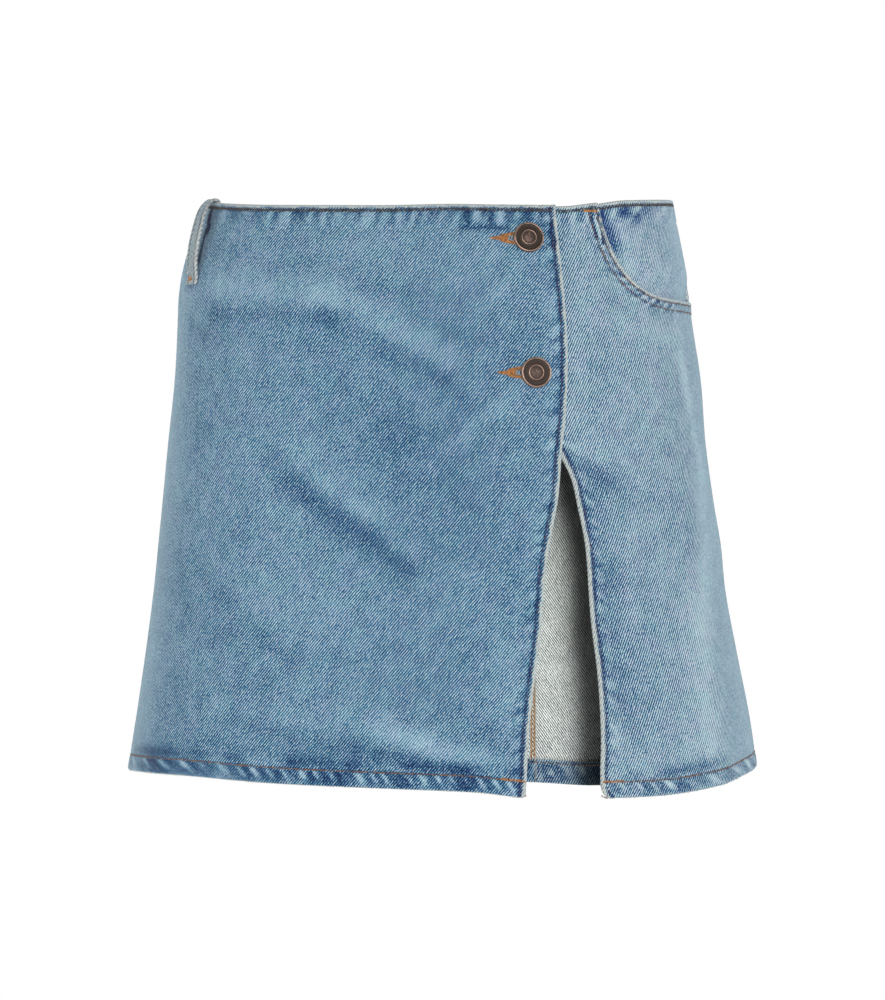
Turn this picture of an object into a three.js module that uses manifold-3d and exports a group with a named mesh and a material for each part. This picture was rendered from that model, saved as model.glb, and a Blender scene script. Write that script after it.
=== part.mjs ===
// A wrap mini skirt of stiff blue denim, filled out as it is when worn, with nobody in it.
// Units are millimetres. +Z is up, +X is the wearer's left, and the front faces -Y.
// The origin is the middle of the waist opening, where the wearer's waist holds the skirt.
// Angles run round the skirt in degrees: 0 is the centre front, 90 the wearer's left side, 180 the back.

import * as THREE from 'three';
import { mergeVertices } from 'three/addons/utils/BufferGeometryUtils.js';
import Module from 'manifold-3d';

// Cloth
const CLOTH = 1.2; // one layer of denim
const TURNING = 1.0; // what a folded edge adds behind the panel
const HEM_TURNING = 1.4; // what a hem folded twice adds behind the panel
const SEAM_GAP = 0.3; // between pieces that are sewn together
const WAIST_BAND = 12; // depth of the waist edge's turning
const HEM_BAND = 10.5; // depth of the hem
const FRONT_BAND = 11; // width of the turning along each front edge
const BAND_STEP = 1.5; // over which a turning's thickness ends
const EDGE_ROUND = 0.7; // over which a folded edge rounds off
const EDGE_SHARE = 0.35; // share of the wall that is left at the very edge
const CELL_AROUND = 13; // size of the walls' faces round the body
const CELL_DOWN = 18; // and down it

// The skirt's form: half widths and depths of a rounded oval, at heights below the waist
const OVAL = 2.15; // 2 is an ellipse, and more is squarer
const SECTIONS = [
  { z: 10, left: 153.5, right: 150.5, front: 92, back: 94 },
  { z: 0, left: 157, right: 153.4, front: 94.5, back: 97 },
  { z: -20, left: 166, right: 157.6, front: 99.5, back: 102.5 },
  { z: -40, left: 171.6, right: 161.6, front: 104, back: 108 },
  { z: -60, left: 174.8, right: 165, front: 107.5, back: 112.5 },
  { z: -80, left: 176.6, right: 166.6, front: 110, back: 116 },
  { z: -120, left: 179, right: 172.6, front: 113, back: 119 },
  { z: -160, left: 183.2, right: 175.6, front: 115, back: 119.5 },
  { z: -200, left: 187, right: 181, front: 117, back: 119 },
  { z: -230, left: 190, right: 186, front: 118.5, back: 118.7 },
  { z: -260, left: 193, right: 189, front: 120, back: 118.5 },
  { z: -300, left: 198.2, right: 196.4, front: 122.5, back: 118.5 },
  { z: -340, left: 204, right: 204.4, front: 125, back: 119 },
  { z: -370, left: 208.6, right: 208.8, front: 127, back: 119.5 },
  { z: -410, left: 213, right: 211.4, front: 128.5, back: 120 },
];

// Where the waist edge and the hem lie, by angle
const WAIST_LINE = [
  { angle: -180, z: 3.5 },
  { angle: -90, z: 1.5 },
  { angle: -70, z: -2 },
  { angle: -45, z: -6 },
  { angle: -20, z: -7.8 },
  { angle: 0, z: -8.2 },
  { angle: 14, z: -8.6 },
  { angle: 30, z: -8 },
  { angle: 38, z: -5.5 },
  { angle: 50, z: -2.5 },
  { angle: 90, z: 1.5 },
  { angle: 180, z: 3.5 },
];
const HEM_LINE = [
  { angle: -180, z: -396 },
  { angle: -150, z: -395 },
  { angle: -128, z: -388.5 },
  { angle: -93, z: -380.5 },
  { angle: -53, z: -379 },
  { angle: -31, z: -382 },
  { angle: -8, z: -384.7 },
  { angle: 6, z: -386.8 },
  { angle: 15, z: -390.4 },
  { angle: 40, z: -391 },
  { angle: 58, z: -386 },
  { angle: 71, z: -380.5 },
  { angle: 90, z: -378 },
  { angle: 128, z: -391 },
  { angle: 150, z: -398 },
  { angle: 163, z: -396.5 },
  { angle: 180, z: -396 },
];

// Soft folds, as ridges (plus) and troughs (minus) between two places on the skirt
const DEGREE = 3; // length round the body of one degree, for the folds alone
const FOLDS = [
  { part: 'hip break, side', angle1: -80, z1: -58, angle2: -28, z2: -74, width: 22, height: 1.6 },
  { part: 'hip break, front', angle1: -28, z1: -74, angle2: 12, z2: -138, width: 22, height: 1.8 },
  { part: 'thigh dent', angle1: -36, z1: -172, angle2: -8, z2: -246, width: 15, height: -2.2 },
  { part: 'hem flare', angle1: -16, z1: -338, angle2: 14, z2: -380, width: 14, height: 2.4 },
  { part: 'slit pull', angle1: 26, z1: -172, angle2: 46, z2: -200, width: 15, height: -1.6 },
  { part: 'beside the slit', angle1: 35, z1: -250, angle2: 36, z2: -345, width: 12, height: -1.8 },
  { part: 'left thigh', angle1: 60, z1: -190, angle2: 58, z2: -370, width: 20, height: 2.2 },
  { part: 'seat, right', angle1: -140, z1: -120, angle2: -128, z2: -360, width: 20, height: 2 },
  { part: 'seat, left', angle1: 143, z1: -140, angle2: 130, z2: -360, width: 20, height: 2 },
  { part: 'centre back', angle1: 180, z1: -200, angle2: 180, z2: -380, width: 22, height: -2.5 },
];

// Edges of the two front panels, as distances to the wearer's left of the centre front
const WRAP_EDGE = [
  { z: -8, x: 72.4 },
  { z: -33, x: 74.5 },
  { z: -60, x: 77.3 },
  { z: -90, x: 79.6 },
  { z: -116, x: 80 },
  { z: -141, x: 79 },
  { z: -162, x: 77.2 },
  { z: -197, x: 74 },
  { z: -220, x: 70 },
  { z: -240, x: 66.6 },
  { z: -267, x: 64.2 },
  { z: -290, x: 62.2 },
  { z: -333, x: 56.7 },
  { z: -358, x: 54.6 },
  { z: -392, x: 52.4 },
];
const UNDER_EDGE = [
  { z: -8, x: 27 },
  { z: -60, x: 28 },
  { z: -95, x: 31.5 },
  { z: -115, x: 37 },
  { z: -135, x: 49 },
  { z: -152, x: 64 },
  { z: -170, x: 75.8 },
  { z: -185, x: 83.3 },
  { z: -202, x: 87 },
  { z: -230, x: 92.4 },
  { z: -276, x: 95.8 },
  { z: -313, x: 100.2 },
  { z: -350, x: 102.2 },
  { z: -384, x: 102 },
  { z: -392, x: 105.5 },
];
const LAP_RISE = 3.2; // how far the wrap panel stands off where it laps over
const LAP_STARTS = -14; // angle where it starts to rise
const LAP_FULL = 5; // and where it stands off in full
const SIDE_SEAM = 93; // angle of both side seams
const BACK_SEAM = [
  { z: 10, x: 57 },
  { z: -150, x: 62 },
  { z: -300, x: 65 },
  { z: -410, x: 65.5 },
];

// The scoop pocket on the wearer's left: the edge of its mouth, from the waist to the side seam
const MOUTH = [
  { angle: 39.4, z: -5.4 },
  { angle: 39.8, z: -11 },
  { angle: 40.6, z: -23.5 },
  { angle: 41.9, z: -35.5 },
  { angle: 44.1, z: -46.7 },
  { angle: 47.3, z: -55.5 },
  { angle: 51, z: -61.2 },
  { angle: 55.5, z: -64.7 },
  { angle: 60.8, z: -66.5 },
  { angle: 68, z: -67.2 },
  { angle: 75, z: -67.5 },
  { angle: 94, z: -67.6 },
];
const MOUTH_COLUMNS = [0, 0.012, 0.045, 0.1, 0.17, 0.26]; // grid columns from its corner to the side seam
const FACING_TUCK_ANGLE = 34; // how far the cloth behind the mouth reaches in
const FACING_TUCK_DOWN = 18; // and down
const FACING_BEHIND = -3.1; // how far it lies behind the front panel
const FACING_RISES = 18; // length over which it comes up beyond the mouth's edge

// Belt loops
const LOOPS = [
  { name: 'belt_loop_right', angle: -67.2, topTurn: -5.5 },
  { name: 'belt_loop_left', angle: 118, topTurn: 2 },
];
const LOOP_TURN_DOWN = 25; // how far down its top is turned towards the side seam
const LOOP_WIDTH = 12;
const LOOP_CLOTH = 1.8;
const LOOP_ABOVE = 0.5; // how far its top stands above the waist edge
const LOOP_FORM = [
  { down: 0, stand: 0.2 },
  { down: 3, stand: 2.4 },
  { down: 9, stand: 5 },
  { down: 20, stand: 5.5 },
  { down: 30, stand: 4.8 },
  { down: 40, stand: 3.1 },
  { down: 48, stand: 0.9 },
  { down: 51, stand: 0 },
  { down: 55.5, stand: 0 },
];

// Shank buttons
const BUTTONS = [
  { name: 'button_upper', tack: 'tack_upper', x: 54.6, z: -30.8 },
  { name: 'button_lower', tack: 'tack_lower', x: 59, z: -117.6 },
];
const BUTTON_R = 10;
const BUTTON_RIM = 1.1; // width of the raised rim
const BUTTON_THICK = 3.4;
const RING_R = 4.5; // raised ring round the middle
const RING_WIDTH = 0.7;
const RING_SINK = 0.7; // how deep the channel between rim and ring is
const NECK_R = 3.2;
const BUTTON_LIFT = 0.7; // from the cloth to the button's underside
const TACK_R = 5.2;
const TACK_THICK = 1.5;
const TACK_GAP = 0.8; // from the cloth, so that the flat tack clears its hollow inside
const EYELET_R = 3.7;
const SLOT_LENGTH = 17; // from the eyelet's middle to the closed end
const SLOT_END_R = 0.4;
const SLOT_DEPTH = 8; // of the tool that cuts the buttonhole
const LATHE_STEPS = 36;

const wasm = await Module();
wasm.setup();

const radians = THREE.MathUtils.degToRad;
const clamp01 = (value) => Math.min(1, Math.max(0, value));
const mix = (from, to, share) => from + (to - from) * share;
const ease = (value) => clamp01(value) ** 2 * (3 - 2 * clamp01(value));

// A smooth curve through a table's rows, from the column named at to the column named value.
function through(rows, at, value) {
  const sorted = [...rows].sort((a, b) => a[at] - b[at]);
  const x = sorted.map((row) => row[at]);
  const y = sorted.map((row) => row[value]);
  const last = x.length - 1;
  const slope = x.map((_, i) => {
    const [low, high] = [Math.max(i - 1, 0), Math.min(i + 1, last)];
    return (y[high] - y[low]) / (x[high] - x[low]);
  });
  return (wanted) => {
    const inside = Math.min(x[last], Math.max(x[0], wanted));
    let i = 0;
    while (i < last - 1 && inside > x[i + 1]) i += 1;
    const span = x[i + 1] - x[i];
    const s = (inside - x[i]) / span;
    const [s2, s3] = [s * s, s * s * s];
    return (2 * s3 - 3 * s2 + 1) * y[i] + (s3 - 2 * s2 + s) * span * slope[i]
      + (3 * s2 - 2 * s3) * y[i + 1] + (s3 - s2) * span * slope[i + 1];
  };
}

const halfLeft = through(SECTIONS, 'z', 'left');
const halfRight = through(SECTIONS, 'z', 'right');
const depthFront = through(SECTIONS, 'z', 'front');
const depthBack = through(SECTIONS, 'z', 'back');
const waistAround = through(WAIST_LINE, 'angle', 'z');
const hemAround = through(HEM_LINE, 'angle', 'z');
const wrapEdge = through(WRAP_EDGE, 'z', 'x');
const underEdge = through(UNDER_EDGE, 'z', 'x');
const backSeam = through(BACK_SEAM, 'z', 'x');
const loopStand = through(LOOP_FORM, 'down', 'stand');

// The angle between -180 and 180.
const wrapped = (angle) => ((((angle + 180) % 360) + 360) % 360) - 180;
const waistLine = (angle) => waistAround(wrapped(angle));
const hemLine = (angle) => hemAround(wrapped(angle));

// A point of the plain oval at an angle and a height.
function ovalPoint(angle, z) {
  const across = Math.sin(radians(angle));
  const along = Math.cos(radians(angle));
  const full = (Math.abs(across) ** OVAL + Math.abs(along) ** OVAL) ** (-1 / OVAL);
  const half = across < 0 ? halfLeft(z) : halfRight(z);
  const depth = along > 0 ? depthFront(z) : depthBack(z);
  return new THREE.Vector3(half * across * full, -depth * along * full, z);
}

// The way out of the cloth there.
function ovalNormal(angle, z) {
  const step = 0.5;
  const around = ovalPoint(angle + step, z).sub(ovalPoint(angle - step, z));
  const up = ovalPoint(angle, z + step).sub(ovalPoint(angle, z - step));
  return around.cross(up).normalize();
}

// How far the folds move the cloth out at a place.
function foldHeight(angle, z) {
  let height = 0;
  for (const fold of FOLDS) {
    const round = wrapped(fold.angle2 - fold.angle1) * DEGREE;
    const down = fold.z2 - fold.z1;
    const x = wrapped(angle - fold.angle1) * DEGREE;
    const y = z - fold.z1;
    const long = Math.hypot(round, down);
    const along = (x * round + y * down) / long;
    const aside = (x * down - y * round) / long;
    const past = Math.max(0, -along, along - long);
    height += fold.height * Math.exp(-(aside * aside + past * past) / (fold.width * fold.width));
  }
  return height;
}

// A point of the cloth, moved out by a distance.
function clothPoint(angle, z, out) {
  return ovalPoint(angle, z).addScaledVector(ovalNormal(angle, z), foldHeight(angle, z) + out);
}

// The angle, on the front or the back, where the oval is a distance to the wearer's left.
function angleAt(x, z, back = false) {
  const reach = x < 0 ? halfLeft(z) : halfRight(z);
  let angle = Math.asin(x / reach);
  for (let i = 0; i < 6; i += 1) {
    const full = (Math.abs(Math.sin(angle)) ** OVAL + Math.cos(angle) ** OVAL) ** (-1 / OVAL);
    angle = Math.asin(x / (reach * full));
  }
  const degrees = THREE.MathUtils.radToDeg(angle);
  return back ? 180 - degrees : degrees;
}

// Length round the body of one degree at a place.
const degreeLength = (angle, z) => ovalPoint(angle + 0.5, z).distanceTo(ovalPoint(angle - 0.5, z));

// A closed solid from a grid: point(i, j, side) gives its outer (side 1) and inner (side -1) points.
function gridSolid(columns, rows, point) {
  const positions = [];
  const faces = [];
  for (const side of [1, -1]) {
    for (let j = 0; j <= rows; j += 1) {
      for (let i = 0; i <= columns; i += 1) positions.push(...point(i, j, side).toArray());
    }
  }
  const layer = (columns + 1) * (rows + 1);
  const at = (i, j, side) => (side > 0 ? 0 : layer) + j * (columns + 1) + i;
  const quad = (a, b, c, d) => faces.push(a, b, c, a, c, d);
  for (let j = 0; j < rows; j += 1) {
    for (let i = 0; i < columns; i += 1) {
      quad(at(i, j, 1), at(i, j + 1, 1), at(i + 1, j + 1, 1), at(i + 1, j, 1));
      quad(at(i, j, -1), at(i + 1, j, -1), at(i + 1, j + 1, -1), at(i, j + 1, -1));
    }
  }
  for (let j = 0; j < rows; j += 1) {
    quad(at(0, j, 1), at(0, j, -1), at(0, j + 1, -1), at(0, j + 1, 1));
    quad(at(columns, j, 1), at(columns, j + 1, 1), at(columns, j + 1, -1), at(columns, j, -1));
  }
  for (let i = 0; i < columns; i += 1) {
    quad(at(i, 0, 1), at(i + 1, 0, 1), at(i + 1, 0, -1), at(i, 0, -1));
    quad(at(i, rows, 1), at(i, rows, -1), at(i + 1, rows, -1), at(i + 1, rows, 1));
  }
  const geometry = new THREE.BufferGeometry();
  geometry.setAttribute('position', new THREE.Float32BufferAttribute(positions, 3));
  geometry.setIndex(faces);
  return geometry;
}

// Places along a length: close together where each end has a turning, even between.
function stations(length, cell, startBand, endBand) {
  const near = (band) => (band ? [0, EDGE_ROUND, band, band + BAND_STEP] : [0]);
  const start = near(startBand);
  const end = near(endBand).map((distance) => length - distance).reverse();
  const [low, high] = [start[start.length - 1], end[0]];
  const cells = Math.max(1, Math.round((high - low) / cell));
  const between = Array.from({ length: cells - 1 }, (_, i) => low + ((high - low) * (i + 1)) / cells);
  return [...start, ...between, ...end].map((distance) => distance / length);
}

// What a turning adds behind the cloth at a distance from its edge, and how far the edge is rounded.
const turned = (distance, band, extra) => (band ? extra * clamp01((band + BAND_STEP - distance) / BAND_STEP) : 0);
const rounded = (distance, band) => (band ? mix(EDGE_SHARE, 1, clamp01(distance / EDGE_ROUND)) : 1);

// A panel of cloth between two edges, each an angle at a height, and two lines, each a height at an angle.
// rise moves it out, bands are the turnings at its top, bottom, first and last edge, and columns are
// more places across it, as shares of its width, where its grid needs them.
function panelGeometry({ first, last, top, bottom, rise = () => 0, bands, columns = [] }) {
  const middle = (first(-200) + last(-200)) / 2;
  const length = top(middle) - bottom(middle);
  const width = Math.abs(last(-380) - first(-380)) * degreeLength(middle, -380);
  const down = stations(length, CELL_DOWN, bands.top, bands.bottom);
  const even = stations(width, CELL_AROUND, bands.first, bands.last);
  const apart = (share) => columns.every((other) => Math.abs(share - other) > 0.015);
  const around = [...even.filter((share) => share === 0 || apart(share)), ...columns].sort((a, b) => a - b);
  const place = (i, j) => {
    let angle = mix(first(-200), last(-200), around[i]);
    let z = 0;
    for (let pass = 0; pass < 8; pass += 1) {
      const [high, low] = [top(angle), bottom(angle)];
      const fromTop = down[j] * length;
      const fromBottom = (1 - down[j]) * length;
      const stretch = (high - low - length) / length;
      z = fromTop < fromBottom
        ? high - fromTop * (fromTop <= bands.top + BAND_STEP ? 1 : 1 + stretch)
        : low + fromBottom * (fromBottom <= bands.bottom + BAND_STEP ? 1 : 1 + stretch);
      angle = mix(first(z), last(z), around[i]);
    }
    return { angle, z };
  };
  const point = (i, j, side) => {
    const { angle, z } = place(i, j);
    const perDegree = degreeLength(angle, z);
    const fromEdges = [
      [top(angle) - z, bands.top, TURNING],
      [z - bottom(angle), bands.bottom, HEM_TURNING],
      [Math.abs(angle - first(z)) * perDegree, bands.first, TURNING],
      [Math.abs(last(z) - angle) * perDegree, bands.last, TURNING],
    ];
    const extra = Math.max(...fromEdges.map(([distance, band, more]) => turned(distance, band, more)));
    const share = Math.min(...fromEdges.map(([distance, band]) => rounded(distance, band)));
    const half = ((CLOTH + extra) / 2) * share;
    const centre = rise(angle, z) - extra / 2;
    return clothPoint(angle, z, centre + side * half);
  };
  return gridSolid(around.length - 1, down.length - 1, point);
}

// How far the wrap panel stands off the panel under it.
const lapRise = (angle) => LAP_RISE * ease((angle - LAP_STARTS) / (LAP_FULL - LAP_STARTS));

// The pocket's mouth: its height at an angle, and the waist's where there is no mouth.
const MOUTH_ANGLE = MOUTH[0].angle;
const mouthEdge = through(MOUTH, 'angle', 'z');
const mouthLine = (angle) => (angle < MOUTH_ANGLE ? waistLine(angle) : mouthEdge(angle));

const seamHalf = (angle, z) => SEAM_GAP / 2 / degreeLength(angle, z);
const sideSeam = (sign, towardsBack) => (z) => sign * (SIDE_SEAM + towardsBack * seamHalf(SIDE_SEAM, z));
const rightBackSeam = (towardsSide) => (z) => {
  const angle = 360 - angleAt(backSeam(z), z, true);
  return angle + towardsSide * seamHalf(angle, z);
};
const leftBackSeam = (towardsSide) => (z) => {
  const angle = angleAt(backSeam(z), z, true);
  return angle - towardsSide * seamHalf(angle, z);
};
const sewnBands = { top: WAIST_BAND, bottom: HEM_BAND, first: 0, last: 0 };

function wrapPanel() {
  return panelGeometry({
    first: sideSeam(-1, -1),
    last: (z) => angleAt(wrapEdge(z), z),
    top: waistLine,
    bottom: hemLine,
    rise: lapRise,
    bands: { ...sewnBands, last: FRONT_BAND },
  });
}

function underPanel() {
  const first = (z) => angleAt(underEdge(z), z);
  const last = sideSeam(1, -1);
  const waist = waistLine(MOUTH_ANGLE);
  const corner = (MOUTH_ANGLE - first(waist)) / (last(waist) - first(waist));
  return panelGeometry({
    first,
    last,
    top: mouthLine,
    bottom: hemLine,
    bands: { ...sewnBands, first: FRONT_BAND },
    columns: MOUTH_COLUMNS.map((share) => mix(corner, 1, share)),
  });
}

// The cloth that shows in the pocket's mouth: behind the front panel, and flush with it further up.
function pocketFacing() {
  const rise = (angle, z) => {
    const inMouth = Math.min(z - mouthEdge(angle), (angle - MOUTH_ANGLE) * degreeLength(angle, z));
    return FACING_BEHIND * (1 - ease((inMouth - 2) / FACING_RISES));
  };
  return panelGeometry({
    first: () => FACING_TUCK_ANGLE,
    last: sideSeam(1, -1),
    top: waistLine,
    bottom: (angle) => mouthEdge(Math.max(angle, MOUTH_ANGLE + 3)) - FACING_TUCK_DOWN,
    rise,
    bands: { ...sewnBands, top: 0, bottom: 0 },
  });
}

function backSidePanel(first, last) {
  return panelGeometry({ first, last, top: waistLine, bottom: hemLine, bands: sewnBands });
}

// A belt loop: a strap sewn down at both ends that stands off the cloth between them.
function beltLoop({ angle, topTurn }) {
  const columns = 4;
  const rows = 20;
  const length = LOOP_FORM[LOOP_FORM.length - 1].down;
  const flat = CLOTH / 2 + SEAM_GAP;
  const point = (i, j, side) => {
    const down = (j / rows) * length;
    const middle = angle + topTurn * clamp01(1 - down / LOOP_TURN_DOWN) ** 2;
    const z = waistLine(middle) + LOOP_ABOVE - down;
    const here = middle + ((i / columns - 0.5) * LOOP_WIDTH) / degreeLength(middle, z);
    return clothPoint(here, z, flat + loopStand(down) + (side > 0 ? LOOP_CLOTH : 0));
  };
  return gridSolid(columns, rows, point);
}

// A closed solid turned about +Z, from its outline's radii and heights.
function turnedSolid(outline) {
  const points = outline.map(([r, z]) => new THREE.Vector2(r, z));
  const lathe = new THREE.LatheGeometry(points, LATHE_STEPS);
  return lathe.rotateX(Math.PI / 2);
}

// The button's outline from the foot of its neck up to the middle of its domed face.
function buttonOutline() {
  const foot = -(LAP_RISE + BUTTON_LIFT) + SEAM_GAP;
  const top = BUTTON_THICK;
  const floor = top - RING_SINK;
  return [
    [0, foot],
    [NECK_R, foot],
    [NECK_R, 0],
    [BUTTON_R - 1.6, 0],
    [BUTTON_R - 0.4, 0.7],
    [BUTTON_R, top * 0.5],
    [BUTTON_R - 0.3, top - 0.2],
    [BUTTON_R - BUTTON_RIM * 0.5, top],
    [BUTTON_R - BUTTON_RIM, top - 0.2],
    [BUTTON_R - BUTTON_RIM - 0.4, floor],
    [RING_R + RING_WIDTH, floor],
    [RING_R + RING_WIDTH * 0.5, top - 0.15],
    [RING_R, floor],
    [RING_R * 0.6, floor + 0.35],
    [0, floor + 0.5],
  ];
}

function tackOutline() {
  return [
    [0, -TACK_THICK],
    [TACK_R * 0.6, -TACK_THICK],
    [TACK_R * 0.93, -TACK_THICK * 0.6],
    [TACK_R, -TACK_THICK * 0.2],
    [TACK_R * 0.95, 0],
    [0, 0],
  ];
}

// Turns and moves a solid so that its +Z is the way out of the cloth at a button.
function placeAtButton(geometry, { x, z }, out) {
  const angle = angleAt(x, z);
  const normal = ovalNormal(angle, z);
  const turn = new THREE.Quaternion().setFromUnitVectors(new THREE.Vector3(0, 0, 1), normal);
  return { position: clothPoint(angle, z, out), quaternion: turn, geometry };
}

const overWrap = LAP_RISE + CLOTH / 2 + BUTTON_LIFT;
const underInside = -(CLOTH / 2 + TACK_GAP);

// The buttonhole's tool: a drop shape with its round end at the button, cut along the button's axis.
function slotTool(button) {
  const tip = SLOT_LENGTH;
  const lean = Math.asin((EYELET_R - SLOT_END_R) / tip);
  const outline = new THREE.Shape();
  outline.absarc(0, 0, EYELET_R, -Math.PI / 2 - lean, Math.PI / 2 + lean, false);
  outline.absarc(-tip, 0, SLOT_END_R, Math.PI / 2 + lean, 1.5 * Math.PI - lean, false);
  const geometry = new THREE.ExtrudeGeometry(outline, { depth: SLOT_DEPTH, bevelEnabled: false, curveSegments: 10 });
  geometry.translate(0, 0, -SLOT_DEPTH / 2);
  const angle = angleAt(button.x, button.z);
  const normal = ovalNormal(angle, button.z);
  const up = new THREE.Vector3(0, 0, 1).addScaledVector(normal, -normal.z).normalize();
  const right = up.clone().cross(normal);
  const frame = new THREE.Matrix4().makeBasis(right, up, normal);
  frame.setPosition(clothPoint(angle, button.z, LAP_RISE));
  return geometry.applyMatrix4(frame);
}

// A closed geometry as a solid for cutting, and back.
function toSolid(geometry) {
  const bare = new THREE.BufferGeometry();
  bare.setAttribute('position', geometry.getAttribute('position').clone());
  if (geometry.index) bare.setIndex(geometry.index.clone());
  const merged = mergeVertices(bare, 1e-4);
  const vertProperties = new Float32Array(merged.getAttribute('position').array);
  const triVerts = new Uint32Array(merged.index.array);
  return new wasm.Manifold(new wasm.Mesh({ numProp: 3, vertProperties, triVerts }));
}

function fromSolid(solid) {
  const { vertProperties, triVerts, numProp } = solid.getMesh();
  const positions = [];
  for (let i = 0; i < vertProperties.length; i += numProp) positions.push(...vertProperties.slice(i, i + 3));
  const geometry = new THREE.BufferGeometry();
  geometry.setAttribute('position', new THREE.Float32BufferAttribute(positions, 3));
  geometry.setIndex([...triVerts]);
  return geometry;
}

// The wrap panel with its two buttonholes cut through.
function wrapWithButtonholes() {
  let solid = toSolid(wrapPanel());
  for (const button of BUTTONS) solid = solid.subtract(toSolid(slotTool(button)));
  return fromSolid(solid);
}

const outsideDenim = new THREE.MeshStandardMaterial({ color: 0x6d8fa8, roughness: 0.92, metalness: 0 });
const paleDenim = new THREE.MeshStandardMaterial({ color: 0x86a3b6, roughness: 0.92, metalness: 0 });
const loopDenim = new THREE.MeshStandardMaterial({ color: 0xa0aaae, roughness: 0.92, metalness: 0 });
const oldCopper = new THREE.MeshStandardMaterial({ color: 0x4a3a33, roughness: 0.42, metalness: 0.9 });

const skirt = new THREE.Group();

function addPiece(name, geometry, material, at = {}) {
  const mesh = new THREE.Mesh(geometry, material);
  mesh.name = name;
  if (at.position) mesh.position.copy(at.position);
  if (at.quaternion) mesh.quaternion.copy(at.quaternion);
  skirt.add(mesh);
}

addPiece('front_wrap_panel', wrapWithButtonholes(), outsideDenim);
addPiece('front_under_panel', underPanel(), paleDenim);
addPiece('pocket_facing', pocketFacing(), paleDenim);
addPiece('back_right_panel', backSidePanel(rightBackSeam(1), (z) => 360 + sideSeam(-1, 1)(z)), outsideDenim);
addPiece('back_centre_panel', backSidePanel(leftBackSeam(-1), rightBackSeam(-1)), outsideDenim);
addPiece('back_left_panel', backSidePanel(sideSeam(1, 1), leftBackSeam(1)), paleDenim);
for (const loop of LOOPS) addPiece(loop.name, beltLoop(loop), loopDenim);
for (const button of BUTTONS) {
  const head = placeAtButton(turnedSolid(buttonOutline()), button, overWrap);
  addPiece(button.name, head.geometry, oldCopper, head);
  const tack = placeAtButton(turnedSolid(tackOutline()), button, underInside);
  addPiece(button.tack, tack.geometry, oldCopper, tack);
}

export default skirt;
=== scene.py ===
# %% [markdown]
# # A denim wrap skirt
# A short wrap skirt of stiff washed denim, filled out as it is when somebody wears it.
# The lesson makes each cut piece as a thin double shell of cloth with rolled, worn edges.
# It then adds the stitches with Geometry Nodes, and gives the cloth a woven material.
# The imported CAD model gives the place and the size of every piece, so it is loaded first.

# %% Load the CAD model
import math
import bpy
import numpy as np
from mathutils import Matrix, Vector


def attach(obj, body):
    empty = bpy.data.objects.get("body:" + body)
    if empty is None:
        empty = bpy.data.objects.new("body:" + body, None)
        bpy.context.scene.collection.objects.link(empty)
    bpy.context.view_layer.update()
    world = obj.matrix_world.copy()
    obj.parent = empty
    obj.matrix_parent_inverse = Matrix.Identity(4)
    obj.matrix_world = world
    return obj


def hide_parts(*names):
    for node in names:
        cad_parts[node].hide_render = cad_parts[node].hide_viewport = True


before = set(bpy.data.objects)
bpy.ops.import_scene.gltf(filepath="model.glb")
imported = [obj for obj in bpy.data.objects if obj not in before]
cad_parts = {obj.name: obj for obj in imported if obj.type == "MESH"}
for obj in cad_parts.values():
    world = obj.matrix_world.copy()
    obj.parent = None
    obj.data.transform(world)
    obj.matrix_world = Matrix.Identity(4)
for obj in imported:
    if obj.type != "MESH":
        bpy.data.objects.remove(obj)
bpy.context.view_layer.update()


def table(columns, rows):
    """Rows of values under named columns."""
    return [dict(zip(columns.split(), row)) for row in rows]


def placed(name, data):
    """Puts a mesh, a lamp or a camera into the scene."""
    made = bpy.data.objects.new(name, data)
    bpy.context.scene.collection.objects.link(made)
    return made


print("CAD pieces:", len(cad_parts))

# %% [markdown]
# ## The form of the skirt
# A worn skirt is a tube whose cross-section is a rounded oval, narrow at the waist and wide at the hem.
# Each row of the table is one cross-section: how far the cloth is from the middle on each side.
# Millimetres are the maker's unit, so everything is worked out in them and turned to metres last.
# Angles run round the skirt in degrees: 0 is the centre front, 90 the wearer's left, 180 the back.

# %% Cross-sections, waist line and hem line
MM = 0.001
OVAL = 2.15
SECTIONS = table("z left right front back", [
    (10, 153.5, 150.5, 92, 94), (0, 157, 153.4, 94.5, 97), (-20, 166, 157.6, 99.5, 102.5),
    (-40, 171.6, 161.6, 104, 108), (-60, 174.8, 165, 107.5, 112.5), (-80, 176.6, 166.6, 110, 116),
    (-120, 179, 172.6, 113, 119), (-160, 183.2, 175.6, 115, 119.5), (-200, 187, 181, 117, 119),
    (-230, 190, 186, 118.5, 118.7), (-260, 193, 189, 120, 118.5), (-300, 198.2, 196.4, 122.5, 118.5),
    (-340, 204, 204.4, 125, 119), (-370, 208.6, 208.8, 127, 119.5), (-410, 213, 211.4, 128.5, 120),
])
WAIST_LINE = table("angle z", [
    (-180, 3.5), (-90, 1.5), (-70, -2), (-45, -6), (-20, -7.8), (0, -8.2), (14, -8.6), (30, -8),
    (38, -5.5), (50, -2.5), (90, 1.5), (180, 3.5),
])
HEM_LINE = table("angle z", [
    (-180, -396), (-150, -395), (-128, -388.5), (-93, -380.5), (-53, -379), (-31, -382), (-8, -384.7),
    (6, -386.8), (15, -390.4), (40, -391), (58, -386), (71, -380.5), (90, -378), (128, -391),
    (150, -398), (163, -396.5), (180, -396),
])


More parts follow.
